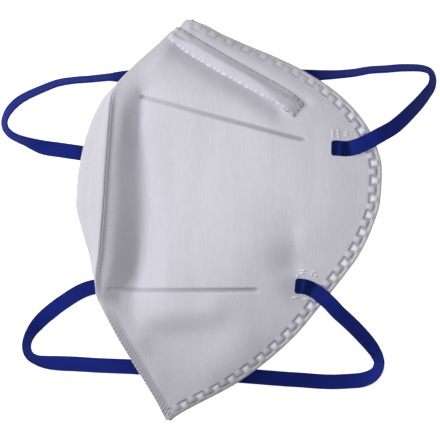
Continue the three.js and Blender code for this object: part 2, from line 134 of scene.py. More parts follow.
# Routes of the flat bands, from the weld on the right panel to the weld on the left panel. lift is the
# height above a band that lies on the table, and tilt is how far the band leans on its edge, in degrees.
UPPER_BAND = {
    "columns": ["x", "y", "lift", "tilt"],
    "rows": [
        [40.2, 28.1, 29.25, -5], [43, 28, 28.95, -5], [46.2, 27.8, 28.55, -5], [49.4, 28.4, 28.3, -2],
        [52.6, 29.6, 27.6, 3], [55.8, 31.2, 26.8, 6], [58.8, 32.9, 26, 10], [61.8, 34.5, 23.8, 14],
        [65.1, 36.5, 20.9, 18], [68.4, 39.2, 17.4, 24], [71.9, 42.5, 13.5, 30], [75.3, 45.9, 9.4, 36],
        [78.7, 49.8, 5.2, 44], [81.2, 53.4, 2.2, 54], [81.8, 56.7, 0.6, 62], [80.7, 59.3, 0.1, 64],
        [77.9, 60.5, 0, 62], [69.6, 60.8, 0, 60], [63.2, 60.3, 0, 60], [56.8, 59.9, 0, 60],
        [50.4, 58.8, 0, 58], [44.1, 58.2, 0, 56], [37.7, 57.9, 0, 48], [31.3, 57.5, 0, 25],
        [24.9, 57.3, 0, 0], [5, 57.1, 0, 0], [-15, 57, 0, 0], [-33, 57.2, 0, 0], [-41, 57.3, 0, 35],
        [-47, 57.1, 0, 60], [-55, 56.3, 0, 62], [-61.4, 55.8, 0, 62], [-67.8, 54.7, 0, 60],
        [-74.1, 52.3, 0, 58], [-80.5, 49.4, 0, 56], [-83.9, 47.2, 0, 54], [-86.9, 44.1, 0, 56],
        [-88.5, 41.2, 0, 62], [-89, 38.8, 0, 65], [-88.4, 36.4, 0, 65], [-86.6, 34.3, 0, 64],
        [-83.6, 32.6, 0, 62], [-80.4, 31.4, 0, 56], [-77.2, 30.2, 0, 40], [-74.1, 29.2, 0, 20],
        [-70.9, 28.6, 0, 8], [-67.7, 28.2, 0, 0], [-61.4, 27.3, 0, 0], [-56.6, 26.7, 0, 0],
        [-40, 26.9, 0, 0], [-20, 27.2, 0, 0], [0, 27.6, 0, 0], [15, 27.9, 0.1, 0], [24.9, 28.1, 0.7, 0],
        [32.8, 28.2, 1.4, 0], [36.8, 28.2, 2, 0], [42.5, 28.2, 3.5, 0],
    ],
}
LOWER_BAND = {
    "columns": ["x", "y", "lift", "tilt"],
    "rows": [
        [26.2, -25.6, 25.05, 7], [30.1, -25.9, 24.85, 10], [33.6, -27.4, 24.5, 10],
        [36.7, -29.6, 23.8, 10], [39.9, -32.5, 22.9, 10], [43.2, -36, 21, 8], [46.5, -39, 18, 10],
        [49.8, -42.1, 14.4, 12], [53.2, -45.6, 10.2, 16], [55.7, -48.4, 7, 22], [57.9, -51.3, 4.2, 32],
        [59.6, -54.3, 1.8, 44], [60.4, -57.3, 0.4, 52], [59.6, -60.1, 0, 48], [57.2, -62.4, 0, 30],
        [53.6, -63.8, 0, 10], [48.8, -64.3, 0, 0], [42.5, -64.6, 0, 0], [36.1, -64.4, 0, 0],
        [29.7, -63.9, 0, 0], [23.3, -63.5, 0, 0], [16.9, -63, 0, 0], [10.5, -62.5, 0, 0],
        [0, -61.6, 0, 0], [-15, -60.2, 0, 0], [-28, -59.2, 0, 0], [-35.8, -58.7, 0, 0],
        [-42.2, -58.4, 0, 0], [-51.8, -58, 0, 0], [-61.4, -57.4, 0, 2], [-67.8, -57.1, 0, 14],
        [-72.6, -56.6, 0, 36], [-76.2, -55.7, 0, 56], [-78.6, -54.3, 0, 62], [-79.9, -52.1, 0, 62],
        [-80.1, -49.5, 0, 60], [-79.4, -46.9, 0, 54], [-78, -44.3, 0, 44], [-76.2, -41.9, 0, 30],
        [-73.6, -39.1, 0, 15], [-70.8, -36.7, 0, 5], [-67.8, -34.3, 0, 0], [-64.6, -32.1, 0, 0],
        [-61.4, -30, 0, 0], [-57.4, -27.9, 0, 0], [-53, -26.6, 0, 0], [-46, -26.2, 0, 0],
        [-36, -26.4, 0, 0], [-16, -26.6, 0, 0], [4, -26.6, 0, 0], [13, -26.6, 0.3, 0],
        [20.9, -26.6, 1.2, 0], [24.9, -26.6, 1.9, 0], [29.8, -26.6, 3.3, 0],
    ],
}

# The two lines pressed across each panel, in plan.
UPPER_LINE = [[-33.6, 48.3], [-12.1, 42.2], [0.9, 38.7], [13.8, 35.3], [29.0, 31.4]]
LOWER_LINE = [[-46.0, -27.1], [-20.0, -27.4], [10.8, -27.2]]

# Soft hollows and swells of the right panel: the two ends of each, how wide it is on the left and on the
# right of the way between them, how far it rises at each end, and how sharp its crease is, from 0 to 1.
FOLDS = {
    "columns": ["x0", "y0", "x1", "y1", "left", "right", "rise0", "rise1", "sharp"],
    "rows": [
        [-33.9, 49.5, -37.8, 30, 7, 2.6, -1.7, -2, 0.9], [-36.8, 22, -35.4, -23, 8, 3.8, -1.9, -2.2, 0.5],
        [-18, 68.3, 20, 44.4, 3.2, 5, -2.7, -1.8, 0.4], [-22.3, 61.5, 15.8, 37.6, 4, 9, 0.4, 0.7, 0],
        [-13.2, 70.7, 30.1, 45.7, 3, 1.5, -0.7, -0.9, 0],
        [24.6, -4.5, 24.4, -15.5, 4.2, 18, -1.3, -1.3, 0], [-29, -37.5, -6, -35, 5, 5, 1, 0.8, 0],
        [-27, -47.5, -10, -45, 6, 12, -1, -0.9, 0], [-6, -58, 6, -46, 7, 7, 0.8, 0.8, 0],
    ],
}


# ---- Curves ----


def hermite(t, start, way1, end, way2):
    """The cubic from start to end that leaves along way1 and arrives along way2."""
    return (
        (2 * t**3 - 3 * t**2 + 1) * start
        + (t**3 - 2 * t**2 + t) * way1
        + (3 * t**2 - 2 * t**3) * end
        + (t**3 - t**2) * way2
    )


def monotone_curve(xs, values):
    """Monotone cubic interpolation (Fritsch and Carlson) of values over rising xs."""
    slopes = np.diff(values) / np.diff(xs)
    before, after = slopes[:-1], slopes[1:]
    total = np.where(before + after == 0, 1, before + after)
    middle = np.where(before * after <= 0, 0, 2 * before * after / total)
    tangents = np.concatenate([slopes[:1], middle, slopes[-1:]])

    def value_at(x):
        inside = np.clip(x, xs[0], xs[-1])
        i = np.clip(np.searchsorted(xs, inside) - 1, 0, len(xs) - 2)
        width = xs[i + 1] - xs[i]
        t = (inside - xs[i]) / width
        return hermite(t, values[i], width * tangents[i], values[i + 1], width * tangents[i + 1])

    return value_at


def smooth_columns(table):
    """One smooth function of y for each further column of a table."""
    rows = np.array(sorted(table["rows"]), dtype=float)
    return {name: monotone_curve(rows[:, 0], rows[:, c]) for c, name in enumerate(table["columns"]) if c}


def root_length(step):
    """The root of a step's length, kept above 0."""
    return np.maximum(np.sum(step**2, axis=-1, keepdims=True) ** 0.25, 1e-4)


def catmull_rom(controls, steps, uniform=False):
    """Splines through controls (splines, points, axes), with steps samples for each stretch. They are
    centripetal, unless uniform."""
    first = 2 * controls[:, :1] - controls[:, 1:2]
    last = 2 * controls[:, -1:] - controls[:, -2:-1]
    points = np.concatenate([first, controls, last], axis=1)
    t = np.arange(steps)[None, :, None] / steps
    stretches = []
    for i in range(controls.shape[1] - 1):
        p0, p1, p2, p3 = (points[:, i + k] for k in range(4))
        if uniform:
            way1 = (p2 - p0) / 2
            way2 = (p3 - p1) / 2
        else:
            d0, d1, d2 = (root_length(b - a) for a, b in ((p0, p1), (p1, p2), (p2, p3)))
            way1 = ((p1 - p0) / d0 - (p2 - p0) / (d0 + d1) + (p2 - p1) / d1) * d1
            way2 = ((p2 - p1) / d1 - (p3 - p1) / (d1 + d2) + (p3 - p2) / d2) * d1
        stretches.append(hermite(t, *(part[:, None] for part in (p1, way1, p2, way2))))
    return np.concatenate(stretches + [controls[:, -1:]], axis=1)


def lengths_along(line):
    """Distance from the start to each point of a line (points, axes)."""
    return np.concatenate([[0.0], np.cumsum(np.linalg.norm(np.diff(line, axis=0), axis=1))])


def sampled(places, along, values):
    """Values (points, axes), which are known at the lengths along, at other places along them."""
    return np.stack([np.interp(places, along, column) for column in values.T], axis=1)


def evenly(line, count):
    """The same line with count points at equal distances."""
    along = lengths_along(line)
    return sampled(np.linspace(0, along[-1], count), along, line)


def smooth_plan(plan, steps, count):
    """A smooth line through plan places, with count points at equal distances."""
    return evenly(catmull_rom(np.array([plan], dtype=float), steps, uniform=True)[0], count)


def unit(vectors):
    return vectors / np.maximum(np.linalg.norm(vectors, axis=-1, keepdims=True), TINY)


def square_to(vectors, *others):
    """Unit vectors made square to others."""
    for other in others:
        vectors = vectors - other * np.sum(vectors * other, axis=-1, keepdims=True)
    return unit(vectors)


def ease(value, start, end):
    """0 before start and 1 after end, with a smooth step between them."""
    t = np.clip((value - start) / (end - start), 0, 1)
    return t * t * (3 - 2 * t)


def bell(off, reach):
    """1 at 0, fading smoothly on both sides over about reach."""
    return np.exp(-((off / reach) ** 2))


def shown(y, stretch):
    """How far a mark shows at y: 0 off its stretch, and 1 between the stretch's two middle places."""
    return ease(y, *stretch[:2]) * (1 - ease(y, *stretch[2:]))


def lerp(a, b, share):
    return a + (b - a) * share


def measure(grid, line):
    """For each point of a grid (..., 3): how far along a line its nearest place is, and how far off."""
    points = grid.reshape(-1, 3)
    tree = KDTree(len(line))
    for i, place in enumerate(line):
        tree.insert(place, i)
    tree.balance()
    nearest = np.array([tree.find(point)[1] for point in points])
    along_line = lengths_along(line)
    best_off = np.full(len(points), np.inf)
    best_along = np.zeros(len(points))
    for shift in (-1, 0):
        a = np.clip(nearest + shift, 0, len(line) - 2)
        step = line[a + 1] - line[a]
        share = np.sum((points - line[a]) * step, axis=1) / np.maximum(np.sum(step**2, axis=1), TINY)
        share = np.clip(share, 0, 1)
        off = np.linalg.norm(points - line[a] - step * share[:, None], axis=1)
        closer = off < best_off
        best_off = np.where(closer, off, best_off)
        best_along = np.where(closer, along_line[a] + share * np.linalg.norm(step, axis=1), best_along)
    return best_along.reshape(grid.shape[:-1]), best_off.reshape(grid.shape[:-1])


# ---- The panels' faces ----

seam = smooth_columns(SEAM)
right = smooth_columns(RIGHT)
dent_place = smooth_columns(DENT_PLACE)["share"]
left = smooth_columns(LEFT)


def seam_at(y):
    """Middle of the seam at y (x, z), and the side of its plane that the right panel is on."""
    lean = np.radians(seam["lean"](y))
    return np.stack([seam["x"](y), seam["z"](y)], axis=-1), np.stack([np.sin(lean), np.cos(lean)], axis=-1)


def right_controls(y):
    middle, side = seam_at(y)
    start = middle + side * (GAP / 2 + WALL)
    rim = right["rimX"](y)

    def over(share, height):
        return np.stack([lerp(start[:, 0], rim, share), height], axis=-1)

    dent, shoulder = right["dent"](y), right["shoulder"](y)
    points = [
        over(RIGHT_LIP["at"], lerp(start[:, 1], dent, RIGHT_LIP["drop"])),
        over(dent_place(y), dent),
        over(dent_place(y) + RIGHT_RISE["beyond"], lerp(dent, shoulder, RIGHT_RISE["climb"])),
    ]
    points += [over(share, right[name](y)) for name, share in RIGHT_STATIONS.items()]
    return np.stack([start, *points, np.stack([rim, right["rimZ"](y)], axis=-1)], axis=1)


def left_controls(y):
    middle, side = seam_at(y)
    start = middle - side * (GAP / 2 + WALL)
    rim = np.stack([right["rimX"](y) - left["rimInset"](y), left["rimZ"](y)], axis=-1)
    under = left["under"](y)
    bulge = middle - np.stack([left["bulge"](y), left["drop"](y)], axis=-1)

    def behind(share, height):
        return np.stack([lerp(bulge[:, 0], rim[:, 0], share), height], axis=-1)

    points = [
        behind(LEFT_TURN["at"], lerp(under, bulge[:, 1], LEFT_TURN["share"])),
        *(behind(share, under) for share in LEFT_FLAT),
        behind(LEFT_LIFT["at"], lerp(under, rim[:, 1], LEFT_LIFT["share"])),
    ]
    return np.stack([start, bulge, *points, rim], axis=1)


def fold_rise(folds, x, y):
    """How far soft hollows and swells raise a face at plan places."""
    total = np.zeros_like(x)
    for x0, y0, x1, y1, left_reach, right_reach, rise0, rise1, sharp in folds:
        way = np.array([x1 - x0, y1 - y0])
        share = np.clip(((x - x0) * way[0] + (y - y0) * way[1]) / (way @ way), 0, 1)
        off = np.hypot(x - x0 - way[0] * share, y - y0 - way[1] * share)
        side = (way[0] * (y - y0) - way[1] * (x - x0)) / (np.linalg.norm(way) * np.maximum(off, TINY))
        reach = lerp(right_reach, left_reach, (side + 1) / 2)
        total += lerp(rise0, rise1, share) * np.exp(-((off / reach) ** (2 - sharp)))
    return total


class Face:
    """Outer face of one panel: a dense grid over y and over the share of the way from seam to rim."""

    Y_STEP = 0.2
    SHARES = 400
    SECTION_STEPS = 60
    PLAN_STEPS = 30

    def __init__(self, controls, outside, lowest=None, folds=None):
        self.outside = outside
        self.ys = np.arange(-TOP, TOP + self.Y_STEP / 2, self.Y_STEP)
        sections = catmull_rom(controls(self.ys), self.SECTION_STEPS)
        grid = np.stack([evenly(section, self.SHARES + 1) for section in sections])
        if lowest is not None:
            grid[..., 1] = np.maximum(grid[..., 1], lowest(self.ys)[:, None])
        if folds is not None:
            plan_y = np.broadcast_to(self.ys[:, None], grid.shape[:2])
            grid[..., 1] += fold_rise(folds["rows"], grid[..., 0], plan_y)
        self.grid = grid

    def at(self, y, share):
        """Positions (..., 3) at y and at a share of the way from the seam to the rim."""
        row = np.clip((y + TOP) / self.Y_STEP, 0, len(self.ys) - 1)
        column = np.clip(share, 0, 1) * self.SHARES
        r = np.minimum(row.astype(int), len(self.ys) - 2)
        c = np.minimum(column.astype(int), self.SHARES - 1)
        fr, fc = (row - r)[..., None], (column - c)[..., None]
        near = lerp(self.grid[r, c], self.grid[r, c + 1], fc)
        far = lerp(self.grid[r + 1, c], self.grid[r + 1, c + 1], fc)
        xz = lerp(near, far, fr)
        return np.stack([xz[..., 0], np.broadcast_to(y, xz.shape[:-1]), xz[..., 1]], axis=-1)

    def height(self, x, y):
        """Height of the face over plan places. Behind the left panel's bulge it is the underside."""
        heights = np.empty(len(x))
        for i, (px, py) in enumerate(zip(x, y)):
            row = self.at(np.full(self.SHARES + 1, py), np.linspace(0, 1, self.SHARES + 1))
            widest = int(np.argmin(row[:, 0]))
            heights[i] = np.interp(px, row[widest:, 0], row[widest:, 2])
        return heights

    def lay(self, plan, count):
        """A smooth line through plan places, laid on the face with count points."""
        line = smooth_plan(plan, self.PLAN_STEPS, count)
        return np.column_stack([line, self.height(line[:, 0], line[:, 1])])


right_face = Face(right_controls, 1, folds=FOLDS)
left_face = Face(left_controls, -1, lowest=left["under"])


# ---- Node trees ----


class Value:
    """A socket of a node tree that can be calculated with."""

    def __init__(self, tree, socket):
        self.tree = tree
        self.socket = socket

    def calc(self, operation, *others):
        made = node(self.tree, "ShaderNodeMath", dict(enumerate((self, *others))), operation=operation)
        return Value(self.tree, made.outputs[0])

    __add__ = partialmethod(calc, "ADD")
    __sub__ = partialmethod(calc, "SUBTRACT")
    __mul__ = partialmethod(calc, "MULTIPLY")
    __truediv__ = partialmethod(calc, "DIVIDE")
    lowest = partialmethod(calc, "MINIMUM")
    highest = partialmethod(calc, "MAXIMUM")
    size = partialmethod(calc, "ABSOLUTE")

    def between(self, start, end):
        """start where this value is 0 and end where it is 1."""
        return self * (end - start) + start

    def other_way(self):
        """1 less this value."""
        return self.between(1, 0)

    def wave(self):
        """A wave between 0 and 1, with one crest for each unit."""
        return (self * (2 * math.pi)).calc("SINE") * 0.5 + 0.5

    def ease(self, start, end):
        """0 up to start and 1 from end, with a smooth step between them. start may be over end."""
        ends = {0: self, 1: start, 2: end, 3: 0.0, 4: 1.0}
        made = node(self.tree, "ShaderNodeMapRange", ends, interpolation_type="SMOOTHSTEP")
        return Value(self.tree, made.outputs[0])

    def fade(self, size, edge):
        """The same with start and end given as shares of a size."""
        return self.ease(size * edge[0], size * edge[1])


def node(tree, kind, inputs=None, **settings):
    """A new node of a tree, with its settings made and its inputs set or linked."""
    made = tree.nodes.new(kind)
    for name, value in settings.items():
        setattr(made, name, value)
    for socket, value in (inputs or {}).items():
        source = value.socket if isinstance(value, Value) else value
        if isinstance(source, bpy.types.NodeSocket):
            tree.links.new(source, made.inputs[socket])
        else:
            made.inputs[socket].default_value = value
    return made


def vector_math(tree, operation, inputs):
    return node(tree, "ShaderNodeVectorMath", inputs, operation=operation).outputs[0]


def noise(tree, place, scale, detail, roughness=0.5):
    inputs = {"Vector": place, "Scale": scale, "Detail": detail, "Roughness": roughness}
    return Value(tree, node(tree, "ShaderNodeTexNoise", inputs).outputs[0])


def new_tree(name, kind, inputs, outputs):
    """A node tree with named sockets of the given kinds. Returns it with its input sockets."""
    tree = bpy.data.node_groups.new(name, kind)
    for way, sockets in (("INPUT", inputs), ("OUTPUT", outputs)):
        for label, socket in sockets.items():
            tree.interface.new_socket(label, in_out=way, socket_type="NodeSocket" + socket)
    entry = tree.nodes.new("NodeGroupInput")
    return tree, {label: Value(tree, entry.outputs[label]) for label in inputs}


def geometry_tree(name, sizes):
    """A geometry tree with a Material input and named sizes. Returns it with its input sockets."""
    inputs = {"Geometry": "Geometry", "Material": "Material", **dict.fromkeys(sizes, "Float")}
    return new_tree(name, "GeometryNodeTree", inputs, {"Geometry": "Geometry"})


def finish_tree(tree, inputs, geometry):
    """Ends a geometry tree in plain geometry with its material."""
    real = node(tree, "GeometryNodeRealizeInstances", {"Geometry": geometry})
    look = {"Geometry": real.outputs["Geometry"], "Material": inputs["Material"]}
    painted = node(tree, "GeometryNodeSetMaterial", look)
    node(tree, "NodeGroupOutput", {"Geometry": painted.outputs["Geometry"]})


def attribute(tree, name, kind="FLOAT"):
    made = node(tree, "GeometryNodeInputNamedAttribute", {"Name": name}, data_type=kind)
    return Value(tree, made.outputs["Attribute"])


def moved(tree, geometry, offset):
    made = node(tree, "GeometryNodeSetPosition", {"Geometry": geometry, "Offset": offset})
    return made.outputs["Geometry"]


def raised(tree, geometry, height):
    """Geometry moved along its normals."""
    normal = node(tree, "GeometryNodeInputNormal").outputs[0]
    return moved(tree, geometry, vector_math(tree, "SCALE", {0: normal, 3: height}))


def stored(tree, geometry, name, value):
    inputs = {"Geometry": geometry, "Name": name, "Value": value}
    made = node(tree, "GeometryNodeStoreNamedAttribute", inputs, data_type="FLOAT", domain="POINT")
    return made.outputs["Geometry"]


def run_tree(obj, tree, material, sizes):
    """Runs a geometry tree on an object, whose mesh becomes the plain result."""
    modifier = obj.modifiers.new(tree.name, "NODES")
    modifier.node_group = tree
    for item in tree.interface.items_tree:
        if item.in_out == "INPUT" and item.name in sizes:
            modifier[item.identifier] = sizes[item.name]
        if item.in_out == "INPUT" and item.name == "Material":
            modifier[item.identifier] = material
    bpy.context.view_layer.update()
    result = obj.evaluated_get(bpy.context.evaluated_depsgraph_get())
    mesh = bpy.data.meshes.new_from_object(result)
    obj.modifiers.remove(modifier)
    obj.data = mesh
    mesh.name = obj.name


# ---- Meshes ----


class Column:
    """One line of points from end to end of a piece. A step of 4 leaves only every fourth of them."""

    def __init__(self, points, step, **measures):
        self.points = points
        self.step = step
        self.measures = measures


def column_of(points, measures, c, step, outside):
    """The column at place c of a piece, with its share of the measures (rows, columns)."""
    own = {label: values[:, c] for label, values in measures.items()}
    return Column(points, step, outside=outside, **own)


def linked(name, data):
    """A new object in the scene."""
    obj = bpy.data.objects.new(name, data)
    bpy.context.scene.collection.objects.link(obj)
    return obj


def new_object(name, points, faces, measures):
    """A smooth mesh object from points in millimetres, with its measures as attributes."""
    mesh = bpy.data.meshes.new(name)
    mesh.from_pydata((points * MM).tolist(), [], faces)
    mesh.shade_smooth()
    for label, values in measures.items():
        kind, slot = ("FLOAT_VECTOR", "vector") if np.ndim(values) == 2 else ("FLOAT", "value")
        layer = mesh.attributes.new(label, kind, "POINT")
        layer.data.foreach_set(slot, np.ascontiguousarray(values, dtype=np.float32).ravel())
    mesh.update()
    return linked(name, mesh)


def closed_wall(name, columns, turned=False):
    """A closed piece from columns side by side around it, with its two ends filled. Neighbouring columns
    with different steps are joined by faces with more corners."""
    rows = len(columns[0].points)
    index = np.full((rows, len(columns)), -1)
    points = []
    measures = {label: [] for label in columns[0].measures}
    count = 0
    for c, column in enumerate(columns):
        kept = column.points[:: column.step]
        index[:: column.step, c] = count + np.arange(len(kept))
        count += len(kept)
        points.append(kept)
        for label, values in column.measures.items():
            measures[label].append(np.broadcast_to(values, rows)[:: column.step])
    faces = [index[0].tolist(), index[-1, ::-1].tolist()]
    for c, column in enumerate(columns):
        beside = (c + 1) % len(columns)
        other = columns[beside]
        span = max(column.step, other.step)
        here, there = index[:, c].tolist(), index[:, beside].tolist()
        for r in range(0, rows - 1, span):
            faces.append(here[r : r + span + 1 : column.step] + there[r : r + span + 1 : other.step][::-1])
    if turned:
        faces = [face[::-1] for face in faces]
    joined = {label: np.concatenate(values) for label, values in measures.items()}
    return new_object(name, np.concatenate(points), faces, joined)


# ---- Panels ----

FINE_ROWS = 961  # lines of points from the seam to the rim
SEAM_COLUMNS = np.linspace(0, 5.2, 15)  # distances from the seam of the fine columns beside it
RIM_COLUMNS = np.linspace(0, 6.0, 21)  # distances from the rim of the fine columns beside it
OPEN_COLUMNS = 85  # columns between them
OPEN_SPACING = 1.1  # the power of their places, which draws them a little towards the seam
EDGE_SHARE = 0.42  # the most of a row that the fine columns beside one edge take
EDGE_ROUND = 5  # columns round each cut edge
COARSE_STEP = 2  # the open columns have every second point
INNER_STEP = 3  # the inner face has every third column
INNER_ROW_STEP = 4  # and every fourth point
LENGTH_SAMPLES = 41  # places along a row that its length is measured at
LINE_POINTS = 240  # places along a pressed line

SEAM_WALL = WALL + GAP / 2 - 0.03  # at the seam the two panels' walls meet but for a hair
RIM_THINS = (3, 7)  # distances from the rim over which the wall grows to its full thickness
SEAM_THINS = (1, 5)  # the same from the seam
SEAM_TURNS = (0.3, 3)  # distances from the seam over which the wall turns square to the face

# Stretches along Y on which a mark shows: it starts, is in full, is still in full, and has ended.
WELD_STRETCH = (-76.2, -74, 76.2, 78.8)
CHIN_STRETCH = (-78.8, -76.2, -44, -31)
KEEL_STRETCH = (-33, -25, 44, 52)
VALLEY_STRETCH = (-36, -29, 34, 48)
NOSE_WELD = {"fades": (32, 60), "strength": 0.3}  # the rim's weld is fainter towards the nose
CHIN_WELD = {"fades": (-30, -55), "strength": 0.75}  # and a little towards the chin
KEEL_STRENGTH = {1: 1.0, -1: 0.3}  # of the dark line along the front seam, on the right and the left panel

LINE_START = 0.55  # strength of a pressed line where it starts
LINE_GROWS = (0, 50)  # distances along it over which it gets its full strength
LINE_DIMPLE = {"strength": 0.35, "reach": 0.8}  # deeper spot where the upper line starts

# Painted shade on the right panel, from 0 to 1. The valley behind the seam is darker between two edges across
# the width, the far one measured from the dent. Below the lower line both edges shift towards the seam.
VALLEY_NEAR = (0.025, 0.055)
VALLEY_FAR = (-0.02, 0.012)
VALLEY_LOW = {"from": (-20, -30), "near": 0.03, "far": 0.05}
VALLEY_SHADE = {"fades": (-18, 14), "chin": 0.5, "nose": 0.25}
CHANNEL_SHADE = {"fold": FOLDS["rows"][2:3], "depth": 2.4, "share": 0.22}  # painted shade in the hollow along the nose channel
# Painted shade round the bands' welds: the way from a band's end along x and y, how far the shade reaches,
# and how dark.
BAND_SHADES = [
    [UPPER_BAND, 3.0, 5.5, 5.0, 0.16],
    [LOWER_BAND, -3.5, 10.5, 13.0, 0.4],
    [LOWER_BAND, -1.2, 0.0, 10.0, 0.6],
]

# Sizes of the pressed marks, all in millimetres but Rib Slant. The rim's weld is a groove that runs in square
# turns between Rim Inner and Rim Outer, with pads and tongues raised beside it.
RELIEF = {
    "Rim Pitch": 7.26,
    "Rim Start": 2.0,
    "Rim Inner": 4.0,
    "Rim Outer": 1.6,
    "Rim Groove": 1.1,
    "Rim Depth": 0.42,
    "Pad Height": 0.5,
    "Rib Pitch": 1.65,
    "Rib Slant": -0.8,
    "Rib Reach": 3.9,
    "Rib Height": 0.3,
    "Line Width": 1.15,
    "Line Depth": 0.55,
    "Keel Width": 2.0,
    "Dot Pitch": 1.25,
    "Dot Reach": 0.5,
    "Dot Depth": 0.12,
    "Softness": 0.2,
}
# Soft edges of the marks, as shares of the size that they belong to.
GROOVE_EDGE = (0.75, 0.1)
PAD_EDGE = (0, 1.4)
PAD_FOOT = (0.35, 1)
TONGUE_FOOT = (1.3, 0.8)
RIB_EDGE = (1, 0.6)
LINE_EDGE = (1, 0.4)
DOT_EDGE = (0.35, 0.8)
KEEL_EDGE = (1, 0.3)
FLAT_RIM_EDGE = (1.1, 0.7)
CUT_EDGE = (0.3, 0.1)
LIT_EDGE = (1, 0.8)
TONGUE_HEIGHT = 0.55  # share of the pads' height
RIB_LEVEL = 0.6  # share of a rib's height that lies below the panel
# How grey pressed cloth gets in each mark.
GROOVE_GREY = 0.72
LINE_GREY = 0.8
RIB_GREY = (0.75, 0.25)  # between the ribs and on them
KEEL_GREY = (0.45, 0.9)  # on the outer face, where the seam's weld is pressed, and darker round its edge in the seam's gap as painted shade
FLAT_RIM_GREY = 0.15
CUT_EDGE_GREY = 0.8
SWELLS = 45.0  # faint swells of the whole panel for each metre
SWELL_STRETCH = (1.0, 0.5, 1.0)
SWELL_FROM = (0.0, 10 * MM)  # distances from the seam over which they grow


def edge_shares(distances, length, way, leave):
    """Shares of each row at distances square to an edge, drawn together where the row is short."""
    sine = np.linalg.norm(np.cross(way, leave), axis=1)
    shares = distances[None] / (length * sine)[:, None]
    return shares * np.minimum(1, EDGE_SHARE / shares[:, -1:])


def right_shade(outer):
    """How much shade is painted on the right panel in its valley, at the nose channel and round the bands'
    welds.
    """
    x, y = outer[..., 0], outer[..., 1]
    width = (x - x[:, :1]) / (x[:, -1:] - x[:, :1])
    low = ease(y, *VALLEY_LOW["from"])
    valley = ease(width + VALLEY_LOW["near"] * low, *VALLEY_NEAR)
    valley *= 1 - ease(width - dent_place(y) + VALLEY_LOW["far"] * low, *VALLEY_FAR)
    valley *= lerp(VALLEY_SHADE["chin"], VALLEY_SHADE["nose"], ease(y, *VALLEY_SHADE["fades"]))
    deep = np.clip(-fold_rise(CHANNEL_SHADE["fold"], x, y) / CHANNEL_SHADE["depth"], 0, 1)
    shade = np.maximum(valley * shown(y, VALLEY_STRETCH), deep * CHANNEL_SHADE["share"])
    for route, across, rise, reach, share in BAND_SHADES:
        end_x, end_y = route["rows"][0][:2]
        off = np.hypot(x - end_x - across, y - end_y - rise)
        shade = np.maximum(shade, share * (1 - ease(off, 0, reach)))
    return shade


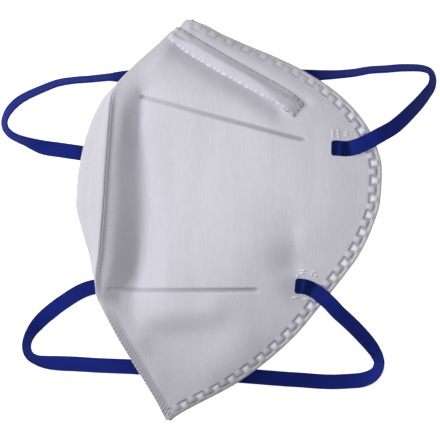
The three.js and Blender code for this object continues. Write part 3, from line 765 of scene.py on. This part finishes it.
def panel_piece(name, face):
    """One panel as a closed wall, with the distances that its pressed marks follow."""
    t = np.linspace(0, 1, FINE_ROWS)
    ys = face.ys[::-1]
    seam_line, rim_line = face.at(ys, 0), face.at(ys, 1)
    seam_along, rim_along = lengths_along(seam_line), lengths_along(rim_line)
    seam_y = np.interp(t * seam_along[-1], seam_along, ys)
    rim_y = np.interp(t * rim_along[-1], rim_along, ys)

    def row_points(shares):
        return face.at(lerp(seam_y[:, None], rim_y[:, None], shares), shares)

    even = row_points(np.broadcast_to(np.linspace(0, 1, LENGTH_SAMPLES), (FINE_ROWS, LENGTH_SAMPLES)))
    length = np.sum(np.linalg.norm(np.diff(even, axis=1), axis=-1), axis=1)
    seam_way = unit(np.gradient(even[:, 0], axis=0))
    rim_way = unit(np.gradient(even[:, -1], axis=0))
    seam_leave = unit(even[:, 1] - even[:, 0])
    rim_reach = unit(even[:, -1] - even[:, -2])
    near_seam = edge_shares(SEAM_COLUMNS, length, seam_way, seam_leave)
    near_rim = 1 - edge_shares(RIM_COLUMNS, length, rim_way, rim_reach)[:, ::-1]
    between = np.linspace(0, 1, OPEN_COLUMNS + 2)[None, 1:-1] ** OPEN_SPACING
    middle = lerp(near_seam[:, -1:], near_rim[:, :1], between)
    outer = row_points(np.concatenate([near_seam, middle, near_rim], axis=1))
    y = outer[..., 1]

    along_rim, from_rim = measure(outer, rim_line)
    along_seam, from_seam = measure(outer, seam_line)
    along_upper, off_upper = measure(outer, face.lay(UPPER_LINE, LINE_POINTS))
    along_lower, off_lower = measure(outer, face.lay(LOWER_LINE, LINE_POINTS))
    at_upper = off_upper < off_lower
    along_line = np.where(at_upper, along_upper, along_lower)
    line_strength = lerp(LINE_START, 1, ease(along_line, *LINE_GROWS))
    line_strength += at_upper * LINE_DIMPLE["strength"] * bell(along_line, LINE_DIMPLE["reach"])
    weld = lerp(1, NOSE_WELD["strength"], ease(y, *NOSE_WELD["fades"]))
    weld *= lerp(1, CHIN_WELD["strength"], ease(y, *CHIN_WELD["fades"]))
    measures = {
        "along_rim": along_rim * MM,
        "from_rim": from_rim * MM,
        "along_seam": along_seam * MM,
        "from_seam": from_seam * MM,
        "from_line": np.minimum(off_upper, off_lower) * MM,
        "line_strength": line_strength,
        "weld": weld * shown(y, WELD_STRETCH),
        "chin": shown(y, CHIN_STRETCH),
        "keel": KEEL_STRENGTH[face.outside] * shown(y, KEEL_STRETCH),
        "shade": right_shade(outer) if face is right_face else np.zeros(y.shape),
    }

    normal = unit(np.cross(np.gradient(outer, axis=0), np.gradient(outer, axis=1))) * face.outside
    _, side = seam_at(outer[:, 0, 1])
    side = np.stack([side[:, 0], np.zeros(FINE_ROWS), side[:, 1]], axis=-1) * face.outside
    at_seam = 1 - ease(from_seam, *SEAM_TURNS)[..., None]
    inward = unit(lerp(normal, side[:, None], at_seam))
    thick = lerp(RIM_WALL, WALL, ease(from_rim, *RIM_THINS))
    thick = lerp(SEAM_WALL, thick, ease(from_seam, *SEAM_THINS))
    inner = outer - inward * thick[..., None]

    def rounding(c, way_out, angles):
        """Columns round a cut edge. Their angle is 0 at the outer face and pi at the inner face."""
        centre = (outer[:, c] + inner[:, c]) / 2
        radius = thick[:, c, None] / 2
        made = []
        for angle in angles:
            turned = inward[:, c] * math.cos(angle) + way_out * math.sin(angle)
            made.append(column_of(centre + radius * turned, measures, c, 1, (1 + math.cos(angle)) / 2))
        return made

    last = outer.shape[1] - 1
    columns = []
    for c in range(last + 1):
        fine = c < len(SEAM_COLUMNS) or c > last - len(RIM_COLUMNS)
        columns.append(column_of(outer[:, c], measures, c, 1 if fine else COARSE_STEP, 1.0))
    angles = math.pi * np.arange(1, EDGE_ROUND + 1) / (EDGE_ROUND + 1)
    columns += rounding(last, square_to(rim_reach, rim_way, inward[:, -1]), angles)
    for c in range(last, -1, -INNER_STEP):
        columns.append(column_of(inner[:, c], measures, c, INNER_ROW_STEP, 0.0))
    columns += rounding(0, square_to(-seam_leave, seam_way, inward[:, 0]), angles[::-1])
    return closed_wall(name, columns, turned=face.outside < 0)


def relief_tree():
    """Presses a panel's weld, ribs and lines along its normals, and stores its pressed grey, painted shade
    and painted highlights.
    """
    tree, inputs = geometry_tree("pressed_relief", RELIEF)
    inner_turn, outer_turn, groove_width = (inputs[name] for name in ("Rim Inner", "Rim Outer", "Rim Groove"))
    outside, weld = attribute(tree, "outside"), attribute(tree, "weld")
    along_rim, from_rim = attribute(tree, "along_rim"), attribute(tree, "from_rim")
    along_seam, from_seam = attribute(tree, "along_seam"), attribute(tree, "from_seam")

    turn = ((along_rim - inputs["Rim Start"]) / inputs["Rim Pitch"]).calc("FRACT")
    pad_half = turn.calc("LESS_THAN", 0.5)
    level = outer_turn + (inner_turn - outer_turn) * pad_half
    crossing = turn.lowest((turn - 0.5).size()).lowest(turn.other_way()) * inputs["Rim Pitch"]
    beyond = (outer_turn - from_rim).highest(from_rim - inner_turn).highest(0.0)
    to_crossing = (beyond * beyond + crossing * crossing).calc("SQRT")
    groove = (from_rim - level).size().lowest(to_crossing).fade(groove_width, GROOVE_EDGE) * weld
    between = crossing.fade(groove_width, PAD_EDGE)
    pad = pad_half * between * (inner_turn - from_rim).fade(groove_width, PAD_EDGE)
    pad = pad * from_rim.fade(outer_turn, PAD_FOOT) * weld
    tongue = pad_half.other_way() * between * (from_rim - outer_turn).fade(groove_width, PAD_EDGE)
    tongue = tongue * from_rim.fade(inner_turn, TONGUE_FOOT) * weld
    height = (pad + tongue * TONGUE_HEIGHT) * inputs["Pad Height"] - groove * inputs["Rim Depth"]

    ribbed = attribute(tree, "chin") * from_seam.fade(inputs["Rib Reach"], RIB_EDGE)
    ribs = ((along_seam - from_seam * inputs["Rib Slant"]) / inputs["Rib Pitch"]).wave()
    height = height + ribbed * (ribs - RIB_LEVEL) * inputs["Rib Height"]
    line = attribute(tree, "from_line").fade(inputs["Line Width"], LINE_EDGE)
    line = line * attribute(tree, "line_strength")
    height = height - line * inputs["Line Depth"]
    dots = (along_seam / inputs["Dot Pitch"]).wave().ease(*DOT_EDGE)
    crease = (from_seam + dots * inputs["Dot Reach"]).fade(inputs["Keel Width"], KEEL_EDGE)
    crease = crease * attribute(tree, "keel")
    height = height - crease * inputs["Dot Depth"]

    place = node(tree, "GeometryNodeInputPosition").outputs[0]
    swell = noise(tree, vector_math(tree, "MULTIPLY", {0: place, 1: SWELL_STRETCH}), SWELLS, 1.0)
    swell = (swell - 0.5) * 2 * inputs["Softness"] * from_seam.ease(*SWELL_FROM)
    pressed_and_painted_shade = (groove * GROOVE_GREY).highest(line * LINE_GREY).highest(ribbed * ribs.between(*RIB_GREY))
    # painted shade from the panel's shade attribute: its valley, the nose channel's hollow and round the
    # bands' welds
    pressed_and_painted_shade = pressed_and_painted_shade.highest(attribute(tree, "shade"))
    pressed_and_painted_shade = pressed_and_painted_shade.highest(from_rim.fade(outer_turn, FLAT_RIM_EDGE) * weld * FLAT_RIM_GREY)
    pressed_and_painted_shade = pressed_and_painted_shade.highest(from_rim.fade(outer_turn, CUT_EDGE) * CUT_EDGE_GREY) * outside
    # the seam's crease: pressed dots on the outer face, painted shade round the edge in the seam's gap
    pressed_and_painted_shade = pressed_and_painted_shade.highest(crease * outside.ease(*LIT_EDGE).between(*KEEL_GREY))
    marked = stored(tree, inputs["Geometry"], "pressed_and_painted_shade", pressed_and_painted_shade)
    # painted highlight on the raised pads of the rim's weld
    marked = stored(tree, marked, "pad", pad * outside)
    finish_tree(tree, inputs, raised(tree, marked, height * outside + swell))
    return tree


# ---- Nose channel ----

STRIP_ROWS = 321
STRIP_COLUMNS = 33
STRIP_STEPS = 40  # samples between two places of the middle line
STRIP_SAMPLES = 600  # places along the whole middle line
STRIP_BOTTOM_STEP = 4  # the underside has every fourth row and column
STRIP_SKEW = 0.6  # how far the upper edge starts behind the middle, so that the end follows the seam
STRIP_TAPER = {"share": 0.3, "length": 12.0}  # how much narrower the lower half is at the seam
STRIP_BORDER = 0.22  # thickness of the welded border
STRIP_RIDGE = 1.7  # height of the ridge over it
# The ridge's crest across the channel, from -1 at its lower edge to 1, and shares of the length between
# which it moves from the one to the other.
STRIP_CREST = {"seam": 0.2, "cheek": -0.75, "moves": (0.62, 0.9)}
STRIP_BULGE = 3  # how roundly the ridge rises from the lower edge
STRIP_UPPER = {"foot": 0.28, "bulge": 1.15}  # its height at the upper edge, and how roundly it falls there
STRIP_ENDS = {"seam": (0, 1.5), "cheek": (-1.5, 5.0)}  # distances from the ends over which the ridge rises
STRIP_FOLD = {"at": 0.2, "width": 0.2, "depth": 0.5, "fades": (0.09, 0.17), "shade": 0.45}  # a crease beside the seam, with painted shade in it
STRIP_FACET = {"grows": (0.74, 0.9), "width": 0.3, "crest": 0.55, "edge": 0.05}  # painted shade on the ridge's upper side towards the cheek, darkest at the crest
STRIP_LAST = (0.88, 0.93)  # shares of the length between which the dotted end begins
TOOTH_DRIFT = {"by": 0.45, "turns": 0.8}  # the teeth are a little uneven
STRIP_SIZES = {
    "Tooth Pitch": 2.4,
    "Tooth Reach": 0.5,
    "Tooth Height": 0.3,
    "Border": 1.6,
}
BORDER_EDGE = (1, 0.2)  # share of the border over which its teeth fade
DOTTED_EDGE = (1.4 * MM, 0.6 * MM)  # distances from the edge over which the dark dots fade
DOT_GREY = (0.3, 1.0)  # of the dots along the upper side, where they are painted shade, and at the end
DOT_CONTRAST = (-0.1, -0.95)  # how much lighter the teeth are there
TOOTH_GREY = 0.2  # between the teeth
TOOTH_PAD = (0.6, 0)  # painted highlight: how light the teeth are on the lit and on the shaded side
TOOTH_LEVEL = 0.35  # share of a tooth's height that lies below the border


def strip_piece(name, face, start):
    """Half of the nose channel: a soft ridge over the wire that lies on one panel from the share start."""
    line = smooth_plan(STRIP_LINE, STRIP_STEPS, STRIP_SAMPLES)
    line = evenly(line[int(start * (STRIP_SAMPLES - 1)) :], STRIP_ROWS)
    way = unit(np.gradient(line, axis=0))
    square = np.stack([-way[:, 1], way[:, 0]], axis=-1)
    across = np.linspace(-1, 1, STRIP_COLUMNS)[None]
    along = lengths_along(line)[:, None]
    share = along / along[-1]
    at_nose = face is right_face
    narrowing = STRIP_TAPER["share"] * (1 - ease(along, 0, STRIP_TAPER["length"])) * at_nose
    to_edge = STRIP_HALF_WIDTH * np.where(across < 0, 1 - narrowing, 1)
    skew = STRIP_SKEW * (across + 1) * (1 - share) * at_nose
    plan = line[:, None] + square[:, None] * (across * to_edge)[..., None] + way[:, None] * skew[..., None]
    base = face.height(plan[..., 0].ravel(), plan[..., 1].ravel()).reshape(plan.shape[:2])

    crest = lerp(STRIP_CREST["seam"], STRIP_CREST["cheek"], ease(share, *STRIP_CREST["moves"]))
    rising = np.clip((across + 1) / (crest + 1), 0, 1)
    falling = np.clip((1 - across) / (1 - crest), 0, 1)
    lower = 1 - (1 - rising) ** STRIP_BULGE
    upper = lerp(STRIP_UPPER["foot"], 1, 1 - (1 - falling) ** STRIP_UPPER["bulge"])
    fold = bell(across - STRIP_FOLD["at"], STRIP_FOLD["width"]) * (1 - ease(share, *STRIP_FOLD["fades"]))
    ridge = STRIP_BORDER + STRIP_RIDGE * np.minimum(lower, upper) - fold * STRIP_FOLD["depth"]
    ends = ease(along, *STRIP_ENDS["seam"]) * ease(along[-1] - along, *STRIP_ENDS["cheek"])
    bottom = base + face.outside * STRIP_CLEARANCE
    top = bottom + face.outside * lerp(STRIP_BORDER, ridge, ends)

    to_side = (1 - np.abs(across)) * STRIP_HALF_WIDTH
    from_end = along[-1] - along
    at_side = to_side < from_end
    outward = np.where(at_side[..., None], square[:, None] * np.sign(across)[..., None], way[:, None])
    along_edge = np.where(at_side, along, across * STRIP_HALF_WIDTH)
    along_edge += TOOTH_DRIFT["by"] * np.sin(along_edge * TOOTH_DRIFT["turns"])
    at_end = np.broadcast_to(ease(share, *STRIP_LAST), at_side.shape)
    facet = ease(across, crest, crest + STRIP_FACET["width"]) * ease(share, *STRIP_FACET["grows"])
    facet *= lerp(STRIP_FACET["crest"], STRIP_FACET["edge"], 1 - falling)
    measures = {
        "from_edge": np.minimum(to_side, from_end) * MM,
        "along_edge": along_edge * MM,
        "outward_x": outward[..., 0],
        "outward_y": outward[..., 1],
        # the shaded upper side and the end: their weld's dots are painted dark, and only the lower side's
        # teeth get a painted highlight
        "dark": np.maximum(across > 0, at_end),
        "at_end": at_end,
        # painted shade in the crease beside the seam and on the ridge's upper side towards the cheek
        "shade": np.maximum(fold * STRIP_FOLD["shade"], facet),
    }

    def column(c, height, step, outside):
        return column_of(np.column_stack([plan[:, c], height[:, c]]), measures, c, step, outside)

    step = STRIP_BOTTOM_STEP
    columns = [column(c, top, 1, 1.0) for c in range(STRIP_COLUMNS)]
    columns += [column(c, bottom, step, 0.0) for c in range(STRIP_COLUMNS - 1, -1, -step)]
    return closed_wall(name, columns, turned=face.outside > 0)


def channel_tree():
    """Gives the nose channel its serrated welded border."""
    tree, inputs = geometry_tree("serrated_border", STRIP_SIZES)
    off, outside, dark = (attribute(tree, name) for name in ("from_edge", "outside", "dark"))
    tooth = (attribute(tree, "along_edge") / inputs["Tooth Pitch"]).wave()
    border = off.fade(inputs["Border"], BORDER_EDGE)
    reach = (tooth - 0.5) * inputs["Tooth Reach"] * border
    ways = {"X": attribute(tree, "outward_x") * reach, "Y": attribute(tree, "outward_y") * reach}
    outward = node(tree, "ShaderNodeCombineXYZ", ways)
    at_end = attribute(tree, "at_end")
    # dark weld dots on the upper side, where they are painted shade, and at the end
    dotted = tooth * at_end.between(*DOT_CONTRAST) + at_end.between(*DOT_GREY)
    pressed_and_painted_shade = (dark * dotted * off.ease(*DOTTED_EDGE)).highest(border * tooth.other_way() * TOOTH_GREY)
    # painted shade of the crease and of the ridge's upper side
    pressed_and_painted_shade = pressed_and_painted_shade.highest(attribute(tree, "shade"))
    marked = stored(tree, inputs["Geometry"], "pressed_and_painted_shade", pressed_and_painted_shade * outside)
    # painted highlight on the teeth of the lower, lit side
    marked = stored(tree, marked, "pad", border * tooth * outside * dark.between(*TOOTH_PAD))
    drawn = moved(tree, marked, outward.outputs[0])
    lift = (tooth - TOOTH_LEVEL) * inputs["Tooth Height"] * border * outside
    finish_tree(tree, inputs, raised(tree, drawn, lift))
    return tree


# ---- Headbands ----

BAND_RINGS = 561
BAND_STEPS = 40  # samples between two rows of a route
BAND_RIBS = 7  # cords of rubber along the band
BAND_RIB_DEPTH = 0.12  # share of the thickness
BAND_SIDE_COLUMNS = 29
BAND_SPREAD = 0.9  # how far the columns are drawn to the edges, from 0 to 1
BAND_EDGE = 0.93  # share of the half width from which the edge is rounded
BAND_CORNER = 0.8
BAND_WELD = {"length": 7.0, "fades": (0.95, 1.2), "depth": 0.45}  # fades and depth are shares of its sizes
BAND_BAR = {"at": 3.2, "width": 0.55, "strength": 0.9}  # ridge between the two bars of the weld


def lying_height(tilt):
    """Height of a band's middle when it lies on the table, leaning over by tilt."""
    lean = np.radians(tilt)
    return BAND_WIDTH / 2 * np.sin(lean) + BAND_THICKNESS / 2 * np.cos(lean) + TABLE_GAP


def headband(name, route):
    """A flat elastic band along its route. Returns it with the centres of its rings, in metres."""
    rows = np.array(route["rows"])
    curve = catmull_rom(rows[None, :, :3], BAND_STEPS)[0]
    tilt = np.interp(np.arange(len(curve)) / BAND_STEPS, np.arange(len(rows)), rows[:, 3])
    way = unit(np.gradient(curve, axis=0))
    middle = curve + np.stack([0 * tilt, 0 * tilt, lying_height(tilt)], axis=-1)
    along = lengths_along(middle)
    rings = np.linspace(0, along[-1], BAND_RINGS)

    middle, way, tilt = (sampled(rings, along, values) for values in (middle, way, tilt[:, None]))
    way = unit(way)
    level = unit(np.cross([0, 0, 1], way))
    lean = np.radians(tilt)
    width = level * np.cos(lean) + np.cross(way, level) * np.sin(lean)
    face = np.cross(way, width)
    ends = np.minimum(rings, rings[-1] - rings)
    welded = 1 - ease(ends / BAND_WELD["length"], *BAND_WELD["fades"])
    welded *= 1 - BAND_BAR["strength"] * bell(ends - BAND_BAR["at"], BAND_BAR["width"])
    flat = 1 - BAND_WELD["depth"] * welded
    corner = np.sqrt(1 - (1 - np.clip(ends / BAND_CORNER, 0, 1)) ** 2)
    half_width = (BAND_WIDTH / 2 - BAND_CORNER * (1 - corner))[:, None]

    def column(across, upper):
        edge = math.sqrt(max(0.0, 1 - max(0.0, (abs(across) - BAND_EDGE) / (1 - BAND_EDGE)) ** 2))
        rib = 1 - BAND_RIB_DEPTH * (1 - math.cos(math.pi * across * BAND_RIBS))
        half = BAND_THICKNESS / 2 * edge * rib * flat[:, None] * (1 if upper else -1)
        points = middle + width * across * half_width + face * half
        across_band = across * BAND_WIDTH / 2 * MM
        return Column(points, 1, along_band=rings * MM, across_band=across_band, pressed_and_painted_shade=welded)

    widest = math.pi / 2 * BAND_SPREAD
    places = np.sin(np.linspace(-1, 1, BAND_SIDE_COLUMNS) * widest) / math.sin(widest)
    columns = [column(a, True) for a in places] + [column(a, False) for a in places[-2:0:-1]]
    return closed_wall(name, columns, turned=True), middle * MM


# ---- Dashes of the welds beside the band ends ----

# From the middle of a band's end: the way along the band, the way towards the nose, and the dash's length.
UPPER_DASHES = [
    [0.6, 4.6, 1.2], [0.6, 5.6, 1.2], [0.6, 6.6, 1.2], [2.8, 4.4, 1.2],
    [2.8, 5.5, 1.2], [2.8, 6.6, 1.2], [6, 4.9, 2.2], [6, 6.2, 2.2],
]
LOWER_DASHES = [
    [2.8, 6, 3], [2.6, 4.9, 1.9], [0.9, 3.8, 1.2], [7.2, 5.4, 1.9],
    [6.4, 4.3, 1.1], [8, 4, 1.2], [0, -4.5, 2.4], [4.3, -5.1, 2.4],
]
DASH_SIZES = {"Dash Width": 0.8, "Dash Height": 0.8}
DASH_GRID = {"Segments": 16, "Rings": 8, "Radius": 0.5}
DASH_RISE = 0.05  # of a dash's middle over the panel
SLOPE_STEP = 0.5  # distance to both sides over which the panel's slope is measured


def dash_points(name, face, ends):
    """Points on one panel for the dashes beside its two band ends, with their lengths and facings."""
    rows = []
    for (x, y), dashes in ends:
        rows += [[x + way * face.outside, y + rise, length] for way, rise, length in dashes]
    x, y, length = np.array(rows).T
    step = SLOPE_STEP
    slope_x = (face.height(x + step, y) - face.height(x - step, y)) / (2 * step)
    slope_y = (face.height(x, y + step) - face.height(x, y - step)) / (2 * step)
    facing = unit(np.column_stack([-slope_x, -slope_y, np.ones(len(x))])) * face.outside
    points = np.column_stack([x, y, face.height(x, y)]) + facing * DASH_RISE
    return new_object(name, points, [], {"length": length * MM, "facing": facing})


def dash_tree():
    """A flat rounded dash on each point."""
    tree, inputs = geometry_tree("weld_dashes", DASH_SIZES)
    dash = node(tree, "GeometryNodeMeshUVSphere", DASH_GRID)
    facing = attribute(tree, "facing", "FLOAT_VECTOR")
    turned = node(tree, "FunctionNodeAlignRotationToVector", {"Vector": facing}, axis="Z")
    sizes = {"X": attribute(tree, "length"), "Y": inputs["Dash Width"], "Z": inputs["Dash Height"]}
    size = node(tree, "ShaderNodeCombineXYZ", sizes)
    placing = {
        "Points": inputs["Geometry"],
        "Instance": dash.outputs["Mesh"],
        "Rotation": turned.outputs[0],
        "Scale": size.outputs[0],
    }
    placed = node(tree, "GeometryNodeInstanceOnPoints", placing)
    finish_tree(tree, inputs, placed.outputs["Instances"])
    return tree


# ---- Materials ----

FABRIC_COLOUR = (0.622, 0.611, 0.675, 1)
# the left panel's cloth, the same as the right's but darker as painted shade
SHADED_COLOUR = (0.565, 0.555, 0.612, 1)
# the channel's cloth, a little darker than the panels' as painted shade
CHANNEL_COLOUR = (0.585, 0.575, 0.637, 1)
# the weld's dashes, lighter than the cloth as painted highlight
DASH_HIGHLIGHT_COLOUR = (0.74, 0.74, 0.79, 1)
# grey of pressed cloth, also used for painted shade
PRESSED_AND_SHADE_COLOUR = (0.32, 0.315, 0.36, 1)
# painted highlight on raised pads and on the channel's lit teeth
PAD_HIGHLIGHT_COLOUR = (0.78, 0.78, 0.82, 1)
THIN_SHARE = 0.94  # brightness of nonwoven where its fibres are thin
TABLE_COLOUR = (0.9, 0.9, 0.9, 1)
TABLE_GLOW = 0.8  # strength of the table's own light
ELASTIC_COLOUR = (0.009, 0.023, 0.26, 1)
ELASTIC_DARK = (0.004, 0.012, 0.13, 1)
ELASTIC_PRESSED = (0.0, 0.005, 0.065, 1)

# Surface of each cloth: bump is its strength, from 0 to 1, and depth the height that it stands for.
NONWOVEN_SURFACE = {"roughness": 0.9, "gloss": 0.2, "bump": 0.35, "depth": 0.3 * MM}
ELASTIC_SURFACE = {"roughness": 0.75, "gloss": 0.12, "bump": 0.5, "depth": 0.12 * MM}
TABLE_SURFACE = {"roughness": 0.9, "gloss": 0.5}
NONWOVEN_SHADES = (0.38, 0.62)  # fibre shades between which the cloth goes from thin to full
ELASTIC_SHADES = (0.1, 0.8)  # the same from dark to light
# Fibres and clouds for each metre across them. Stretch is the same along Y, where less makes them longer.
NONWOVEN_FIBRES = {"Fibres": 1400.0, "Clouds": 160.0, "Stretch": 0.12}
ELASTIC_FIBRES = {"Fibres": 3000.0, "Clouds": 140.0, "Stretch": 1.0}
YARN_PITCH = 0.55 * MM
YARN_WAVE = {"pitch": 1.7 * MM, "height": 0.5}
CORD_PITCH = 0.43 * MM
GRAIN = 1.7  # grains for each fibre
FINE_PART = 0.65  # part of the fibres' height that is not grain


def fibre_group():
    """Fine fibres and faint cloudiness: a mask for colour and a height for bump."""
    outputs = dict.fromkeys(("Shade", "Height"), "Float")
    group, inputs = new_tree("fibres", "ShaderNodeTree", dict.fromkeys(NONWOVEN_FIBRES, "Float"), outputs)
    fibres, clouds, stretch = (inputs[label] for label in ("Fibres", "Clouds", "Stretch"))
    place = node(group, "ShaderNodeTexCoord").outputs["Object"]
    stretched = node(group, "ShaderNodeCombineXYZ", {"X": 1.0, "Y": stretch, "Z": 1.0})
    drawn = vector_math(group, "MULTIPLY", {0: place, 1: stretched.outputs[0]})
    fine = noise(group, drawn, fibres, 3.0, 0.6)
    grain = noise(group, place, fibres * GRAIN, 2.0)
    cloudy = noise(group, drawn, clouds, 3.0)
    made = {
        "Shade": fine * 0.5 + cloudy * 0.5,
        "Height": fine * FINE_PART + grain * (1 - FINE_PART),
    }
    node(group, "NodeGroupOutput", made)
    return group


FIBRES = fibre_group()


def new_material(name, surface):
    """An empty material with a surface's roughness and gloss. Returns it with its tree and its shader."""
    material = bpy.data.materials.new(name)
    material.use_nodes = True
    tree = material.node_tree
    tree.nodes.clear()
    inputs = {"Roughness": surface["roughness"], "Specular IOR Level": surface["gloss"]}
    shader = node(tree, "ShaderNodeBsdfPrincipled", inputs)
    node(tree, "ShaderNodeOutputMaterial", {"Surface": shader.outputs[0]})
    return material, tree, shader


def fibres_of(tree, sizes):
    """Shade and height of the fibres in one material."""
    group = node(tree, "ShaderNodeGroup", sizes, node_tree=FIBRES)
    return Value(tree, group.outputs["Shade"]), Value(tree, group.outputs["Height"])


def mixed(tree, share, first, second):
    made = node(tree, "ShaderNodeMix", {0: share, 6: first, 7: second}, data_type="RGBA")
    return made.outputs[2]


def shader_attribute(tree, name):
    made = node(tree, "ShaderNodeAttribute", attribute_name=name)
    return Value(tree, made.outputs["Fac"])


def finish_cloth(tree, shader, colour, height, surface):
    """Gives a cloth its colour and its surface's bump."""
    inputs = {"Strength": surface["bump"], "Distance": surface["depth"], "Height": height}
    bump = node(tree, "ShaderNodeBump", inputs)
    tree.links.new(colour, shader.inputs["Base Color"])
    tree.links.new(bump.outputs[0], shader.inputs["Normal"])


def nonwoven(name, colour):
    """White nonwoven fabric: fine fibres, faint streaks, greyer where pressed and where shade is painted,
    lighter where highlights are painted.
    """
    material, tree, shader = new_material(name, NONWOVEN_SURFACE)
    shade, height = fibres_of(tree, NONWOVEN_FIBRES)
    thin = tuple(part * THIN_SHARE for part in colour[:3]) + (1,)
    cloth = mixed(tree, shade.ease(*NONWOVEN_SHADES), thin, colour)
    cloth = mixed(tree, shader_attribute(tree, "pressed_and_painted_shade"), cloth, PRESSED_AND_SHADE_COLOUR)
    cloth = mixed(tree, shader_attribute(tree, "pad"), cloth, PAD_HIGHLIGHT_COLOUR)
    finish_cloth(tree, shader, cloth, height, NONWOVEN_SURFACE)
    return material


def elastic(name):
    """Blue knitted elastic: rubber cords along the band with yarn across them, darker where it is welded."""
    material, tree, shader = new_material(name, ELASTIC_SURFACE)
    along, across = shader_attribute(tree, "along_band"), shader_attribute(tree, "across_band")
    rows = (along / YARN_PITCH + (across / YARN_WAVE["pitch"]).wave() * YARN_WAVE["height"]).wave()
    cords = (across / CORD_PITCH).wave()
    shade, height = fibres_of(tree, ELASTIC_FIBRES)
    shade = rows * 0.25 + cords * 0.25 + shade * 0.5
    height = rows * 0.5 + cords * 0.3 + height * 0.2
    cloth = mixed(tree, shade.ease(*ELASTIC_SHADES), ELASTIC_DARK, ELASTIC_COLOUR)
    cloth = mixed(tree, shader_attribute(tree, "pressed_and_painted_shade"), cloth, ELASTIC_PRESSED)
    finish_cloth(tree, shader, cloth, height, ELASTIC_SURFACE)
    return material


def table_finish():
    """A white table that glows a little, so that shadows on it stay faint."""
    material, _, shader = new_material("table", TABLE_SURFACE)
    shader.inputs["Base Color"].default_value = TABLE_COLOUR
    shader.inputs["Emission Color"].default_value = (1, 1, 1, 1)
    shader.inputs["Emission Strength"].default_value = TABLE_GLOW
    return material


# ---- Camera, table and light ----

CAMERA_AT = (-3.0, 0.1, 1000.0)
CAMERA_NEAR = 0.05
VIEW_WIDTH = 176.0  # of the table, as the camera sees it
SENSOR_WIDTH = 36.0
TABLE_HALF = 1500.0
TABLE_TOP = -0.1
SKY_LIGHT = 0.03  # light from all round. The background itself is seen white.
# Lamps: place, size and power, in metres and watts.
LAMPS = {
    "overhead": ((0.03, 0.01, 0.22), 0.12, 0.237),
    "side": ((-0.56, 0.15, 0.39), 0.3, 3.6),
}


def add_camera():
    """A camera that looks straight down on the mask."""
    camera = bpy.data.cameras.new("camera")
    camera.sensor_width = SENSOR_WIDTH
    camera.lens = SENSOR_WIDTH * CAMERA_AT[2] / VIEW_WIDTH
    camera.clip_start = CAMERA_NEAR
    obj = linked("camera", camera)
    obj.location = Vector(CAMERA_AT) * MM
    bpy.context.scene.camera = obj


def add_table():
    corners = [[x * TABLE_HALF, y * TABLE_HALF, TABLE_TOP] for x, y in ((-1, -1), (1, -1), (1, 1), (-1, 1))]
    table = new_object("table", np.array(corners), [[0, 1, 2, 3]], {})
    table.data.materials.append(table_finish())


def add_light():
    """Soft square lamps that are turned towards the mask, in a faint light from all round."""
    scene = bpy.context.scene
    world = bpy.data.worlds.new("studio")
    world.use_nodes = True
    sky = world.node_tree.nodes["Background"]
    sky.inputs["Color"].default_value = (1, 1, 1, 1)
    seen = node(world.node_tree, "ShaderNodeLightPath").outputs["Is Camera Ray"]
    glow = Value(world.node_tree, seen).between(SKY_LIGHT, 1)
    world.node_tree.links.new(glow.socket, sky.inputs["Strength"])
    scene.world = world
    scene.view_settings.view_transform = "Standard"
    for name, (place, size, power) in LAMPS.items():
        lamp = bpy.data.lights.new(name, "AREA")
        lamp.size = size
        lamp.energy = power
        obj = linked(name, lamp)
        obj.location = place
        obj.rotation_euler = Vector(place).to_track_quat("Z", "Y").to_euler()


# ---- The mask ----


def in_metres(sizes, plain=("Rib Slant",)):
    return {label: value if label in plain else value * MM for label, value in sizes.items()}


def add_headbands():
    finish = elastic("blue_elastic")
    for node_name, route in (("upper_headband", UPPER_BAND), ("lower_headband", LOWER_BAND)):
        band, path = headband(node_name + "_cloth", route)
        band.data.materials.append(finish)
        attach(band, "root")
        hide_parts(node_name)


def add_panels():
    tree = relief_tree()
    for node_name, face, finish in (
        ("right_panel", right_face, nonwoven("white_nonwoven", FABRIC_COLOUR)),
        # the left panel gets the darker copy of the cloth: painted shade
        ("left_panel", left_face, nonwoven("shaded_nonwoven", SHADED_COLOUR)),
    ):
        panel = panel_piece(node_name + "_cloth", face)
        run_tree(panel, tree, finish, in_metres(RELIEF))
        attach(panel, "root")
        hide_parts(node_name)


def add_nose_strips():
    finish = nonwoven("channel_nonwoven", CHANNEL_COLOUR)
    tree = channel_tree()
    for node_name, face, start in (
        ("right_nose_strip", right_face, 0.0),
        ("left_nose_strip", left_face, LEFT_STRIP_FROM),
    ):
        strip = strip_piece(node_name + "_cloth", face, start)
        run_tree(strip, tree, finish, in_metres(STRIP_SIZES))
        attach(strip, "root")
        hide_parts(node_name)


def add_weld_dashes():
    # the dashes' lighter cloth is painted highlight
    finish = nonwoven("welded_nonwoven_highlight", DASH_HIGHLIGHT_COLOUR)
    tree = dash_tree()
    for side, face, row in (("right", right_face, 0), ("left", left_face, -1)):
        ends = [
            (route["rows"][row][:2], dashes)
            for route, dashes in ((UPPER_BAND, UPPER_DASHES), (LOWER_BAND, LOWER_DASHES))
        ]
        marks = dash_points(side + "_weld_dashes", face, ends)
        run_tree(marks, tree, finish, in_metres(DASH_SIZES))
        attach(marks, "root")


add_camera()
add_headbands()
add_panels()
add_nose_strips()
add_weld_dashes()
add_table()
add_light()
